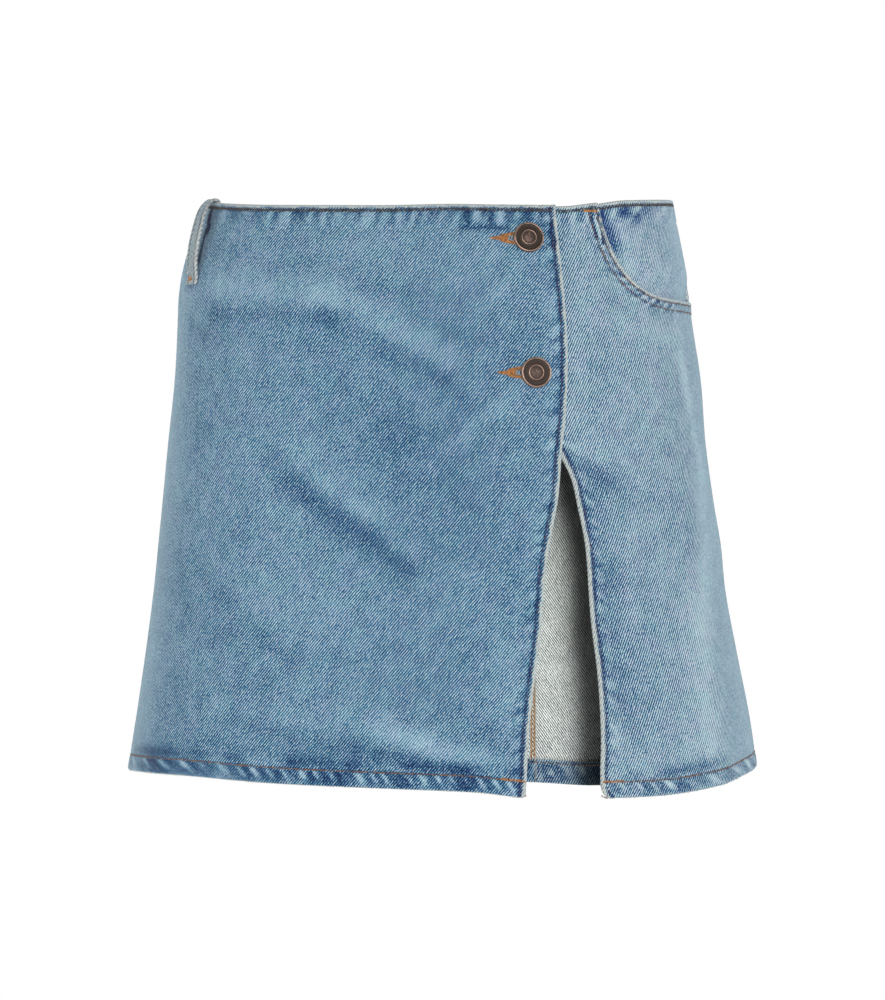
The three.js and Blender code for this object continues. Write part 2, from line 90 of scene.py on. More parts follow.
def through(rows, at, value):
    """A smooth curve through a table's rows, from the column named at to the column named value."""
    rows = sorted(rows, key=lambda row: row[at])
    x = np.array([row[at] for row in rows], float)
    y = np.array([row[value] for row in rows], float)
    before = np.maximum(np.arange(len(x)) - 1, 0)
    after = np.minimum(np.arange(len(x)) + 1, len(x) - 1)
    slope = (y[after] - y[before]) / (x[after] - x[before])

    def curve(wanted):
        inside = np.clip(wanted, x[0], x[-1])
        i = np.clip(np.searchsorted(x, inside) - 1, 0, len(x) - 2)
        span = x[i + 1] - x[i]
        s = (inside - x[i]) / span
        ends = (2 * s**3 - 3 * s**2 + 1) * y[i] + (3 * s**2 - 2 * s**3) * y[i + 1]
        slopes = (s**3 - 2 * s**2 + s) * slope[i] + (s**3 - s**2) * slope[i + 1]
        return ends + span * slopes

    return curve


def wrapped(angle):
    return (np.asarray(angle, float) + 180) % 360 - 180


half_left, half_right = through(SECTIONS, "z", "left"), through(SECTIONS, "z", "right")
depth_front, depth_back = through(SECTIONS, "z", "front"), through(SECTIONS, "z", "back")
waist_around, hem_around = through(WAIST_LINE, "angle", "z"), through(HEM_LINE, "angle", "z")


def waist_line(angle):
    return waist_around(wrapped(angle))


def hem_line(angle):
    return hem_around(wrapped(angle))


def oval_point(angle, z):
    """Points of the plain oval, in millimetres."""
    across, along = np.sin(np.radians(angle)), np.cos(np.radians(angle))
    full = (np.abs(across) ** OVAL + np.abs(along) ** OVAL) ** (-1 / OVAL)
    half = np.where(across < 0, half_left(z), half_right(z))
    depth = np.where(along > 0, depth_front(z), depth_back(z))
    return np.stack(np.broadcast_arrays(half * across * full, -depth * along * full, z), axis=-1)


def oval_normal(angle, z):
    """The way out of the cloth."""
    around = oval_point(angle + 0.5, z) - oval_point(angle - 0.5, z)
    up = oval_point(angle, z + 0.5) - oval_point(angle, z - 0.5)
    out = np.cross(around, up)
    return out / np.linalg.norm(out, axis=-1, keepdims=True)


def degree_length(angle, z):
    """Length round the body of one degree."""
    return np.linalg.norm(oval_point(angle + 0.5, z) - oval_point(angle - 0.5, z), axis=-1)


def angle_at(x, z, back=False):
    """The angle, on the front or the back, where the oval is x to the wearer's left."""
    x, z = np.asarray(x, float), np.asarray(z, float)
    reach = np.where(x < 0, half_left(z), half_right(z))
    angle = np.arcsin(np.clip(x / reach, -1, 1))
    for _ in range(6):
        full = (np.abs(np.sin(angle)) ** OVAL + np.cos(angle) ** OVAL) ** (-1 / OVAL)
        angle = np.arcsin(np.clip(x / (reach * full), -1, 1))
    return 180 - np.degrees(angle) if back else np.degrees(angle)


print("waist round about", round(float(degree_length(np.arange(-180, 180), 0).sum())), "mm")

# %% [markdown]
# ## Folds
# Stiff denim doesn't ripple. It breaks into a few long, soft ridges and troughs where the body pushes it.
# Each fold here is a smooth bump along a line between two places, with a width and a height.
# The first rows are the same as in the CAD model. The others are lower and finer, and only show up close.

# %% The folds
DEGREE = 3
FOLDS = table("name angle1 z1 angle2 z2 width height", [
    ("hip break, side", -80, -58, -28, -74, 22, 1.6),
    ("hip break, front", -28, -74, 12, -138, 22, 1.8),
    ("thigh dent", -36, -172, -8, -246, 15, -2.2),
    ("hem flare", -16, -338, 14, -380, 14, 2.4),
    ("slit pull", 26, -172, 46, -200, 15, -1.6),
    ("beside the slit", 35, -250, 36, -345, 12, -1.8),
    ("left thigh", 60, -190, 58, -370, 20, 2.2),
    ("seat, right", -140, -120, -128, -360, 20, 2),
    ("seat, left", 143, -140, 130, -360, 20, 2),
    ("centre back", 180, -200, 180, -380, 22, -2.5),
    ("under the hip break", -66, -84, -22, -100, 9, -0.9),
    ("below the loop", -78, -66, -60, -92, 7, -0.8),
    ("button pull, upper", 20, -42, 6, -86, 6, 0.5),
    ("button pull, lower", 18, -122, 2, -164, 8, 0.7),
    ("knee line, right", -56, -238, -30, -300, 10, -0.9),
    ("above the hem, right", -40, -342, -4, -366, 7, -1.0),
    ("above the hem, front", -6, -366, 12, -374, 5, -0.9),
    ("slit top, left", 28, -166, 40, -176, 5, 0.8),
    ("left hip", 50, -84, 78, -100, 12, 0.9),
    ("left thigh, front", 44, -232, 41, -330, 8, -0.8),
    ("seat crease, right", -118, -150, -152, -172, 9, -1.0),
    ("seat crease, left", 122, -158, 156, -176, 9, -0.9),
    ("under the seat, right", -132, -206, -160, -224, 8, 0.8),
    ("under the seat, left", 138, -212, 164, -226, 8, 0.8),
    ("back drape, right", -158, -250, -150, -380, 9, -1.0),
    ("back drape, left", 158, -262, 152, -382, 9, -1.0),
    ("side drape, left", 100, -150, 106, -360, 11, -0.9),
    ("side drape, right", -102, -170, -108, -360, 11, -0.9),
])


def along_line(angle, z, row):
    """How strongly a row's soft line from one place to another is felt, from 0 to 1."""
    round_it = wrapped(row["angle2"] - row["angle1"]) * DEGREE
    down = row["z2"] - row["z1"]
    x, y = wrapped(angle - row["angle1"]) * DEGREE, z - row["z1"]
    long = math.hypot(round_it, down)
    along, aside = (x * round_it + y * down) / long, (x * down - y * round_it) / long
    past = np.maximum(0, np.maximum(-along, along - long))
    return np.exp(-(aside**2 + past**2) / row["width"] ** 2)


def fold_height(angle, z):
    return sum(row["height"] * along_line(angle, z, row) for row in FOLDS)


print("folds:", len(FOLDS))

# %% [markdown]
# ## Edges of the pieces
# The wrap's edge, the edge under it and the pocket's mouth were drawn on the front of the skirt.
# Their tables hold the distance to the wearer's left of the centre front, or the angle, at each height.

# %% Edge tables
WRAP_EDGE = table("z x", [
    (-8, 72.4), (-33, 74.5), (-60, 77.3), (-90, 79.6), (-116, 80), (-141, 79), (-162, 77.2),
    (-197, 74), (-220, 70), (-240, 66.6), (-267, 64.2), (-290, 62.2), (-333, 56.7), (-358, 54.6),
    (-392, 52.4),
])
UNDER_EDGE = table("z x", [
    (-8, 27), (-60, 28), (-95, 31.5), (-115, 37), (-135, 49), (-152, 64), (-170, 75.8), (-185, 83.3),
    (-202, 87), (-230, 92.4), (-276, 95.8), (-313, 100.2), (-350, 102.2), (-384, 102), (-392, 105.5),
])
MOUTH = table("angle z", [
    (39.4, -5.4), (39.8, -11), (40.6, -23.5), (41.9, -35.5), (44.1, -46.7), (47.3, -55.5),
    (51, -61.2), (55.5, -64.7), (60.8, -66.5), (68, -67.2), (75, -67.5), (94, -67.6),
])
BACK_SEAM = table("z x", [
    (10, 57), (-150, 62), (-300, 65), (-410, 65.5),
])
# The length of one degree near the pocket, round the hem and at the side, in millimetres.
FRONT_DEGREE, HEM_DEGREE, SIDE_DEGREE = 2.35, 2.3, 2.4
SIDE_SEAM = 93.0
SEAM_GAP = 0.3
LAP_RISE, LAP_STARTS, LAP_FULL = 3.2, -14.0, 5.0
FACING_BEHIND, FACING_RISES, FACING_TUCK_ANGLE, FACING_TUCK_DOWN = -3.1, 18.0, 34.0, 18.0

wrap_x, under_x = through(WRAP_EDGE, "z", "x"), through(UNDER_EDGE, "z", "x")
back_seam_x, mouth_edge = through(BACK_SEAM, "z", "x"), through(MOUTH, "angle", "z")
MOUTH_ANGLE = MOUTH[0]["angle"]


def ease(share):
    share = np.clip(share, 0, 1)
    return share * share * (3 - 2 * share)


def mouth_line(angle):
    """The pocket's mouth, and the waist line where there is no mouth."""
    return np.where(np.asarray(angle) < MOUTH_ANGLE, waist_line(angle), mouth_edge(angle))


def wrap_edge(z):
    return angle_at(wrap_x(z), z)


def under_edge(z):
    return angle_at(under_x(z), z)


def side_seam(sign, towards_back):
    def edge(z):
        return sign * (SIDE_SEAM + towards_back * SEAM_GAP / 2 / degree_length(SIDE_SEAM, z))
    return edge


def back_seam(sign, towards_side):
    def edge(z):
        angle = angle_at(back_seam_x(z), z, back=True)
        angle = angle - towards_side * SEAM_GAP / 2 / degree_length(angle, z)
        return angle if sign > 0 else 360 - angle
    return edge


def lap_rise(angle, z):
    """How far the wrap stands off the panel under it."""
    return LAP_RISE * ease((angle - LAP_STARTS) / (LAP_FULL - LAP_STARTS))


def facing_rise(angle, z):
    """The pocket's facing lies behind the front panel and comes up flush beyond the mouth's edge."""
    in_mouth = np.minimum(z - mouth_edge(angle), (angle - MOUTH_ANGLE) * degree_length(angle, z))
    return FACING_BEHIND * (1 - ease((in_mouth - 2) / FACING_RISES))


print("the pocket's mouth drops", round(float(waist_line(70) - mouth_edge(70))), "mm below the waist")

# %% [markdown]
# ## How each kind of edge is finished
# A denim edge is turned in and stitched. The fold makes a bead at the very edge, each row of stitches
# pulls the cloth into a small ditch, and the raw end of the turning leaves a faint step on the outside.
# Washing then puckers the cloth between the rows and rubs the high places pale, which makers call roping.
# Each row's ditch is also painted darker: painted shade, together with the dye that rubbing doesn't reach.
# One row of the table says all of that for one kind of edge, so every edge is made by the same function.

# %% The table of edges
EDGE_ROWS = table("kind turning thick bead bead_wide rows ditch step pucker wave"
                  " lean rope_from rope_to worn dye dark patchy", [
    ("waist", 15.5, 1.0, 0.5, 2.6, [3.6], 0.5, 0.5, 0.55, 9.5, 0.3, 3.5, 18.0, 2.5, 0.75, 0.6, 0),
    ("hem", 10.8, 1.4, 0.2, 1.5, [10.3], 0.6, 0.0, 0.6, 8.7, 0.6, 0.0, 16.0, 0.6, 1.0, 0.5, 1),
    ("back_hem", 17.5, 1.4, 0.2, 1.5, [14.2], 0.6, 0.25, 0.6, 8.7, 0.6, 0.0, 21.0, 0.6, 1.0, 0.5, 1),
    ("front", 11.0, 1.0, 0.55, 2.7, [3.9], 0.6, 0.25, 0.3, 12.0, -0.5, 4.0, 14.0, 2.7, 0.6, 1.15, 0),
    ("mouth", 9.5, 0.9, 0.45, 2.0, [2.5, 7.2], 0.5, 0.3, 0.36, 6.5, 1.0, 1.8, 13.0, 2.3, 1.6, 0.7, 0),
    ("seam", 0.0, 0.0, 0.0, 1.0, [], 0.0, 0.0, 0.25, 15.0, 0.4, 0.5, 10.0, 0.9, 0.5, 0.3, 0),
    ("hidden", 0.0, 0.0, 0.0, 1.0, [], 0.0, 0.0, 0.0, 10.0, 0.0, 0.0, 1.0, 0.0, 0.0, 0.0, 0),
])
EDGES = {row["kind"]: row for row in EDGE_ROWS}
CLOTH = 1.2


def wander(along, seed):
    """A smooth, uneven wave between about -1 and 1 that never quite repeats."""
    return (np.sin(along * 0.131 + seed * 1.7) + 0.7 * np.sin(along * 0.293 + seed * 2.9)
            + 0.5 * np.sin(along * 0.617 + seed * 4.3)) / 2.2


def near(distance, place, width):
    return np.exp(-(((distance - place) / width) ** 2))


def ropes(kind, distance, along, seed):
    """The puckers along an edge, from -1 in a hollow to 1 on a ridge."""
    e = EDGES[kind]
    s = along + e["lean"] * distance
    wave = np.sin(2 * math.pi * s / e["wave"] + 2.2 * wander(s, seed))
    uneven = 0.62 + 0.38 * wander(s * 0.8, seed + 5)
    start = ease((distance - e["rope_from"]) / 1.5)
    end = 1 - ease((distance - e["rope_from"] - 3) / max(e["rope_to"] - e["rope_from"] - 3, 1))
    return wave * uneven * start * end if e["pucker"] else 0 * distance


def dye_marks(kind, distance, along, seed):
    """Where washing leaves an edge paler or darker: ropes, or at a hem dark patches and pale streaks."""
    e = EDGES[kind]
    if not e["patchy"]:
        return e["dye"] * ropes(kind, distance, along, seed)
    row, s = e["rows"][0], along + e["lean"] * distance
    wave = 2 * math.pi * s / e["wave"] + 1.6 * wander(s * 0.5, seed) + 0.35 * wander(s * 2.0, seed + 1)
    streak = ((1 + np.sin(wave)) / 2) ** 3 * (0.9 + 0.7 * wander(along * 1.3, seed + 4))
    streak = streak * ease((distance - 0.8) / (0.55 * row))
    band = ease((distance - 0.3) / 1.2) * (1 - ease((distance - row + 1.0) / 0.9))
    depth = 0.8 + 0.6 * wander(along * 1.1, seed + 2) - 0.5 * near(distance, 0.8, 2.2)
    above = near(distance, row + 4.2, 3.6) * np.clip(0.5 + 1.1 * wander(along * 0.6, seed + 7), 0, 1.1)
    pale = near(distance, row + 1.7, 0.7) * np.clip(0.4 + wander(along * 0.8, seed + 8), 0, 1)
    return e["dye"] * (band * (1.5 * streak - 0.85 * depth) - 0.75 * above + 0.7 * pale)


def edge_relief(kind, distance, along, seed):
    """How far the outside of the cloth stands out near one edge."""
    e = EDGES[kind]
    relief = e["bead"] * near(distance, e["bead_wide"] * 0.52, e["bead_wide"] * 0.42)
    for row in e["rows"]:
        relief = relief - e["ditch"] * near(distance, row, 0.85)
    if e["turning"]:
        relief = relief - e["step"] * near(distance, e["turning"], 1.1)
        relief = relief + 0.2 * e["thick"] * ease((e["turning"] + 1 - distance) / 1.5)
    if kind == "seam":
        relief = relief - 0.9 * np.exp(-((distance / 1.0) ** 2))
    return relief + e["pucker"] * ropes(kind, distance, along, seed)


print("kinds of edge:", ", ".join(EDGES))

# %% [markdown]
# ## One function for every cut piece
# A piece is a grid of points between its two side edges and its top and bottom lines.
# The grid is dense beside the edges, where the beads and ditches are, and even between them.
# The outside and inside grids are joined round the rim, so each piece is one closed shell of cloth.
# The cloth's own map of places (its UV map) is measured along the surface, so that the weave
# runs straight down the piece and doesn't stretch where the skirt widens.

# %% The piece of cloth
FINE = [0, 0.12, 0.35, 0.7, 1.1, 1.6, 2.2, 2.8, 3.4, 4.0, 4.8]
LIGHT = [0, 0.25, 0.6, 1.1, 1.8, 2.8]


def places_beside(kind):
    """How the grid is spaced beside one kind of edge."""
    turning = EDGES[kind]["turning"]
    if not turning:
        return LIGHT
    steps = list(np.arange(6, turning - 0.8, 1.3))
    return FINE + steps + [turning - 0.35, turning + 0.05, turning + 0.8, turning + 2.0]


def places(length, cell, start, end):
    """Distances along a length: close together near each finished edge, even between."""
    first, last = np.array(places_beside(start)), length - np.array(places_beside(end))[::-1]
    cells = max(1, round((last[0] - first[-1]) / cell))
    between = np.linspace(first[-1], last[0], cells + 1)[1:-1]
    return np.concatenate([first, between, last])


class Piece:
    """A cut piece of cloth between two edges (angles at a height) and two lines (heights at an angle)."""

    def __init__(self, name, first, last, top, bottom, kinds, rise=None, seed=0, grain=0.0, middle=0.0):
        self.name, self.first, self.last, self.top, self.bottom = name, first, last, top, bottom
        self.kinds, self.seed, self.grain, self.middle = kinds, seed, grain, middle
        self.rise = rise or (lambda angle, z: 0 * z)

    def from_edges(self, angle, z):
        """The distance from each edge and the place along it, in the order top, bottom, first, last."""
        per = degree_length(angle, z)
        found = []
        for line, sign in ((self.top, 1), (self.bottom, -1)):
            slope = (line(angle + 0.3) - line(angle - 0.3)) / 0.6 / per
            found.append((sign * (line(angle) - z) / np.sqrt(1 + slope**2), angle * per))
        for edge, sign in ((self.first, 1), (self.last, -1)):
            slope = (edge(z + 1) - edge(z - 1)) / 2 * per
            found.append((sign * (angle - edge(z)) * per / np.sqrt(1 + slope**2), -z))
        if self.kinds[0] == "mouth":
            found[0] = self.from_mouth(angle, z, per)
        return [(np.maximum(d, 0), s) for d, s in found]

    def from_mouth(self, angle, z, per):
        """The true distance from the pocket's mouth, which curves too much for the quick way."""
        around = np.linspace(MOUTH_ANGLE, 94, 150)
        knots = np.stack([around * FRONT_DEGREE, mouth_edge(around)], axis=-1)
        run = np.concatenate([[0], np.cumsum(np.linalg.norm(np.diff(knots, axis=0), axis=1))])
        here = np.stack([angle.ravel() * FRONT_DEGREE, z.ravel()], axis=-1)
        distance, along = np.empty(len(here)), np.empty(len(here))
        for chunk in range(0, len(here), 4000):
            gap = np.linalg.norm(here[chunk:chunk + 4000, None] - knots[None], axis=2)
            nearest = gap.argmin(axis=1)
            distance[chunk:chunk + 4000] = gap[np.arange(len(gap)), nearest]
            along[chunk:chunk + 4000] = run[nearest]
        return distance.reshape(z.shape), along.reshape(z.shape)

    def edge_list(self, angle, z):
        """Each edge's kind, distance and place along it; a pocket panel has a waist edge too."""
        rows = [(kind, d, s) for kind, (d, s) in zip(self.kinds, self.from_edges(angle, z))]
        if self.kinds[0] == "mouth":
            beside = (MOUTH_ANGLE + 0.8 - angle) * FRONT_DEGREE
            waist = np.where(beside > 0, waist_line(angle) - z, 99.0)
            rows.append(("waist", np.maximum(waist, 0), angle * FRONT_DEGREE))
        return rows

    def wall(self, angle, z):
        """Where the outside and the inside are, how worn the cloth is, and how dark or pale its dye, with
        painted shade in the ditches beside the stitches.
        """
        rows = self.edge_list(angle, z)
        relief, extra, worn, dye, allowance, fold = (0 * z for _ in range(6))
        for kind, distance, along in rows:
            e = EDGES[kind]
            relief = relief + edge_relief(kind, distance, along, self.seed)
            if e["turning"]:
                extra = np.maximum(extra, np.where(distance <= e["turning"], e["thick"], 0.0))
                shows = 1.1 if e["patchy"] else 0.4
                fold = np.maximum(fold, near(distance, e["turning"] - 0.5, 0.8) * shows)
            if kind == "seam":
                allowance = np.maximum(allowance, 0.9 * ease((7.0 - distance) / 0.9))
            if e["worn"]:
                uneven = 0.85 + 0.3 * wander(along * 2.5, self.seed + 3)
                past = (distance - e["worn"] * 0.75 * uneven) / (e["worn"] * 0.5)
                worn = np.maximum(worn, 1 - ease(past))
            if e["pucker"]:
                dye = dye + dye_marks(kind, distance, along, self.seed)
                # Painted shade in the ditch of each row of stitches, together with the dye that rubbing
                # doesn't reach there: the cloth is darker along each row.
                strength = 0.75 + 0.35 * wander(along, self.seed + 9)
                for row in e["rows"] or [0.0]:
                    dye = dye - e["dark"] * near(distance, row + 0.3, 1.25) * strength
        relief = np.clip(relief, -1.2, 1.2)
        outside = self.rise(angle, z) + CLOTH / 2 + relief
        inside = self.rise(angle, z) - CLOTH / 2 - np.maximum(extra, allowance) + 0.45 * relief
        centre, half = (outside + inside) / 2, (outside - inside) / 2
        full = half
        for kind, distance, _ in rows:
            if EDGES[kind]["turning"]:
                share = np.clip(distance / (full + 0.25), 0, 1)
                half = np.minimum(half, full * np.maximum(np.sqrt(1 - (1 - share) ** 2), 0.06))
        return centre + half, centre - half, worn, dye, fold

    def at(self, angle, z, out):
        angle, z = np.asarray(angle, float), np.asarray(z, float)
        away = fold_height(angle, z) + out
        return oval_point(angle, z) + oval_normal(angle, z) * away[..., None]

    def outside(self, angle, z, lift=0.0):
        return self.at(angle, z, self.wall(angle, z)[0] + lift)

    def inside(self, angle, z, lift=0.0):
        return self.at(angle, z, self.wall(angle, z)[1] - lift)


print("a piece is", CLOTH, "mm thick before its edges are turned in")

# %% [markdown]
# ## From a grid of places to a closed shell
# Every point of a piece's grid is first given an angle and a height. Beside a finished edge the
# lines of the grid keep their true distance from it, so that a bead or a ditch always has enough points.
# Then each point is moved out or in by half the wall. Blender gets the faces, the cloth's map of places
# and three painted values: how strongly the wash has faded or darkened the cloth there, together with
# painted light and shade, how worn it is, and, on the inside beside the slit, how deep it lies in painted
# shadow.

# %% The grid of a piece
def grid_places(piece, around, down, shares=None, at_height=-200, level=None):
    """The angle and height of each point: rows from top to bottom, columns from first to last.

    Above level, where one is given, the rows pass over from the top line's shape to level ones.
    """
    top_kind, bottom_kind, first_kind, last_kind = piece.kinds
    centre = (piece.first(at_height) + piece.last(at_height)) / 2
    width = (piece.last(at_height) - piece.first(at_height)) * degree_length(centre, at_height)
    height = piece.top(centre) - piece.bottom(centre)

    def line(length, cell, start, end, shares=None):
        cut = places(float(length), cell, start, end)
        n, m = len(places_beside(start)), len(places_beside(end))
        from_start, from_end = cut[n - 1], length - cut[-m]
        if shares is None:
            shares = (cut[n:-m] - from_start) / (cut[-m] - from_start)
        weight = np.concatenate([np.zeros(n), shares, np.ones(m)])
        ahead = np.concatenate([cut[:n], np.full(len(shares) + m, from_start)])
        behind = np.concatenate([np.full(n + len(shares), from_end), length - cut[-m:]])
        return weight, ahead, behind

    wj, aj, bj = (part[None, :] for part in line(width, around, first_kind, last_kind, shares))
    wi, ai, bi = (part[:, None] for part in line(height, down, top_kind, bottom_kind))
    angle = centre + 0 * wi * wj
    z = at_height + 0 * wi * wj
    rows_above = None
    if level is not None:
        above = np.linspace(0, 1, 1 + int((piece.top(piece.first(0)) - level) / down))[1:-1]
        below = np.linspace(0, 1, 1 + int((level - piece.bottom(centre)) / down))[:-1]
        n, m = len(places_beside(top_kind)), len(places_beside(bottom_kind))
        from_top, from_bottom = np.array(places_beside(top_kind)), np.array(places_beside(bottom_kind))[::-1]
        rows_above = (n, len(above), len(below), m)
        z = at_height + np.zeros((sum(rows_above), angle.shape[1]))
        angle = centre + 0 * z
    for _ in range(12):
        per = degree_length(angle, z)
        edges = (piece.first, piece.last)
        steep = [np.sqrt(1 + ((edge(z + 1) - edge(z - 1)) / 2 * per) ** 2) for edge in edges]
        from_first = piece.first(z) + aj * steep[0] / per
        from_last = piece.last(z) - bj * steep[1] / per
        angle = (1 - wj) * from_first + wj * from_last
        if rows_above is None:
            z = (1 - wi) * (piece.top(angle) - ai) + wi * (piece.bottom(angle) + bi)
            continue
        a, b, c = n, n + len(above), n + len(above) + len(below)
        top, bottom = piece.top(angle), piece.bottom(angle)
        z[:a] = top[:a] - from_top[:, None]
        z[a:b] = (top[a:b] - from_top[-1]) * (1 - above[:, None]) + level * above[:, None]
        z[b:c] = level * (1 - below[:, None]) + (bottom[b:c] + from_bottom[0]) * below[:, None]
        z[c:] = bottom[c:] + from_bottom[:, None]
    return angle, z


CORNER_R = 3.2


def round_corner(piece, angle, z):
    """Rounds the hem's corner at a free front edge, as wear does."""
    for edge, kind, sign in ((piece.first, piece.kinds[2], 1), (piece.last, piece.kinds[3], -1)):
        if kind != "front":
            continue
        per = degree_length(angle, z)
        p = CORNER_R - sign * (angle - edge(z)) * per
        q = CORNER_R - (z - piece.bottom(angle))
        corner = (p > 0) & (q > 0)
        less = np.where(corner, 1 - np.maximum(p, q) / np.maximum(np.hypot(p, q), 1e-6), 0.0)
        angle, z = angle + sign * p * less / per, z + q * less
    return angle, z


def shell_faces(rows, columns):
    """The quads of a closed double grid: outside, inside, and the rim that joins them."""
    layer = rows * columns
    number = np.arange(layer).reshape(rows, columns)
    a, b = number[:-1, :-1], number[1:, :-1]
    c, d = number[1:, 1:], number[:-1, 1:]
    outside = np.stack([a, b, c, d], axis=-1).reshape(-1, 4)
    inside = outside[:, ::-1] + layer
    rim = []
    borders = ((number[:, 0], True), (number[:, -1], False), (number[0], False), (number[-1], True))
    for line, turned in borders:
        p, q = line[:-1], line[1:]
        quad = np.stack([p, q, q + layer, p + layer], axis=-1)
        rim.append(quad[:, ::-1] if turned else quad)
    return outside, inside, np.concatenate(rim)


print("a grid of 3 x 3 points gives", sum(len(part) for part in shell_faces(3, 3)), "faces")

# %% [markdown]
# ## Where the wash has faded the cloth, and painted light and shade
# Worn denim is pale where it is rubbed, on ridges, edges and the tops of folds, and stays dark in creases.
# Here the folds also get painted light and shade: pale along their ridges, dark below them and in creases.
# The table has the soft pale and dark streaks, as lines on the front from one place to another
# (millimetres to the wearer's left, and up), or as angles on the back. Light above 0 is paler, below darker.
# Some rows are wash marks, such as the puckers beside the buttons. Others are painted: the belt loop's
# shadow, the shadow below the top of the slit, the shade beside the slit and a pale band of light down the
# left thigh.

# %% The faded places, and painted light and shade
FADES_AND_PAINTED_LIGHT = table("name x1 z1 x2 z2 width light", [
    ("hip arc, pale", -150, -58, -74, -66, 10, 0.30),
    ("hip arc, dark", -150, -76, -72, -82, 7, -0.30),
    ("front arc, pale", -74, -66, 2, -106, 9, 0.28),
    ("front arc, dark", -72, -82, 0, -122, 7, -0.30),
    ("arc's end, dark", 0, -122, 18, -138, 6, -0.22),
    ("below the waist", -120, -30, 20, -44, 20, 0.12),
    # The next three rows are painted shadow of the right belt loop, beside and under it.
    ("beside the loop's top, dark", -153, -9, -154.5, -21, 2.6, -2.6),
    ("beside the loop, dark", -156, -21, -160, -42, 1.6, -2.0),
    ("under the loop, dark", -169, -59.5, -164, -59, 1.6, -0.7),
    ("thigh, pale", -118, -150, -84, -310, 34, 0.10),
    ("thigh crease", -102, -186, -47, -225, 7, -0.30),
    ("thigh crease, lower", -47, -225, -21, -245, 6, -0.26),
    ("above the crease", -98, -174, -40, -212, 7, 0.16),
    ("middle, dark", -34, -150, 8, -210, 22, -0.12),
    ("hem flare, pale", -40, -345, 31, -371, 8, 0.24),
    ("hem, dark left", -157, -356, -40, -364, 6, -0.16),
    ("hem, dark right", -40, -364, 50, -379, 4, -0.20),
    ("knee line, dark", -150, -286, -96, -296, 8, -0.14),
    ("beside the edge", 66, -60, 70, -160, 6, 0.12),
    ("spot by the edge", 69.6, -165, 69.8, -169, 5, 0.34),
    ("edge bottom, pale", 44, -300, 40, -350, 8, 0.16),
    ("left hip, pale", 120, -84, 150, -100, 16, 0.18),
    # The next three rows are painted light: a pale band down the left thigh, where a side light falls.
    ("left thigh band, top", 158, -112, 171, -180, 8, 0.45),
    ("left thigh band", 171, -190, 171, -270, 14, 0.42),
    ("left thigh band, low", 168, -285, 172, -350, 18, 0.44),
    # Painted shadow below the top of the slit.
    ("slit crease", 82, -173, 115, -190, 5, -0.30),
    ("under the button side", 96, -90, 106, -150, 12, -0.10),
    ("left thigh, dark", 124, -290, 126, -310, 13, -0.16),
    # Painted shade beside the slit, where the cloth turns away from the light.
    ("beside the slit, dark", 96, -190, 112, -330, 13, -0.32),
    ("left waist, pale", 86, -14, 92, -80, 9, 0.2),
    ("left edge, pale", 152, -72, 160, -130, 8, 0.25),
    ("slit side, pale", 111, -335, 112, -352, 7, 0.22),
    ("pocket crease", 118, -74, 150, -76, 4, -0.16),
    ("waist crease, left of button", 12, -24, 42, -24, 1.6, -0.7),
    ("waist crease, right of button", 64, -22, 71, -21, 1.6, -0.7),
    ("beside the upper button", 71, -30, 73, -36, 4, -0.7),
    ("pucker by the button, pale", 22, -13, 24, -19, 2.2, 0.6),
    ("pucker by the button, dark", 15, -13, 17, -20, 2.6, -0.6),
    ("second pucker, dark", 29, -13, 31, -20, 2.6, -0.6),
    ("second pucker, pale", 36, -13, 38, -20, 2.2, 0.5),
    ("fourth pucker, dark", 56, -12, 55, -18, 3.4, -0.8),
    ("by the upper button, pale", 66, -12, 67, -17, 2.0, 0.6),
    ("third pucker, dark", 45, -13, 44, -19, 2.6, -0.4),
])
FACING_FADES = [
    dict(name="blotch by the corner", x1=105, z1=-14, x2=112, z2=-32, width=6, light=-1.3),
    dict(name="blotch below the waist", x1=116, z1=-10, x2=128, z2=-14, width=4, light=-1.0),
    dict(name="facing's middle", x1=124, z1=-34, x2=146, z2=-44, width=12, light=0.12),
]
BACK_FADES = table("name angle1 z1 angle2 z2 width light", [
    ("seat, right", -150, -120, -128, -170, 34, 0.24),
    ("seat, left", 150, -120, 130, -170, 34, 0.24),
    ("seat crease, right", -116, -186, -160, -204, 7, -0.26),
    ("seat crease, left", 120, -188, 160, -204, 7, -0.26),
    ("centre, dark", 180, -60, 180, -360, 16, -0.10),
    ("back hem, dark", -140, -370, -168, -374, 5, -0.16),
    ("back hem, dark left", 144, -368, 172, -374, 5, -0.16),
    ("side, pale", -112, -90, -104, -200, 16, 0.14),
    ("side, pale left", 108, -90, 104, -220, 16, 0.14),
])
for row in FADES_AND_PAINTED_LIGHT + FACING_FADES:
    row["angle1"] = float(angle_at(row["x1"], row["z1"]))
    row["angle2"] = float(angle_at(row["x2"], row["z2"]))


def fades_and_painted_light(piece, angle, z):
    """How much paler the cloth is at a place, from the wash's fades and from painted light; below 0 it is
    darker, from the wash and from painted shade.
    """
    rows = FACING_FADES if piece.rise is facing_rise else FADES_AND_PAINTED_LIGHT + BACK_FADES
    light = sum(row["light"] * along_line(angle, z, row) for row in rows)
    # Painted light and shade of the folds, together with their rubbing: paler where a fold bulges out,
    # darker where it sinks in.
    ridge = fold_height(angle, z)
    bend = ridge - (fold_height(angle - 3, z) + fold_height(angle + 3, z)
                    + fold_height(angle, z - 8) + fold_height(angle, z + 8)) / 4
    return light + 0.35 * np.clip(bend, -0.6, 0.6)


print("fades and painted light and shade:", len(FADES_AND_PAINTED_LIGHT) + len(BACK_FADES))

# %% Making the mesh of a piece
MADE = {}


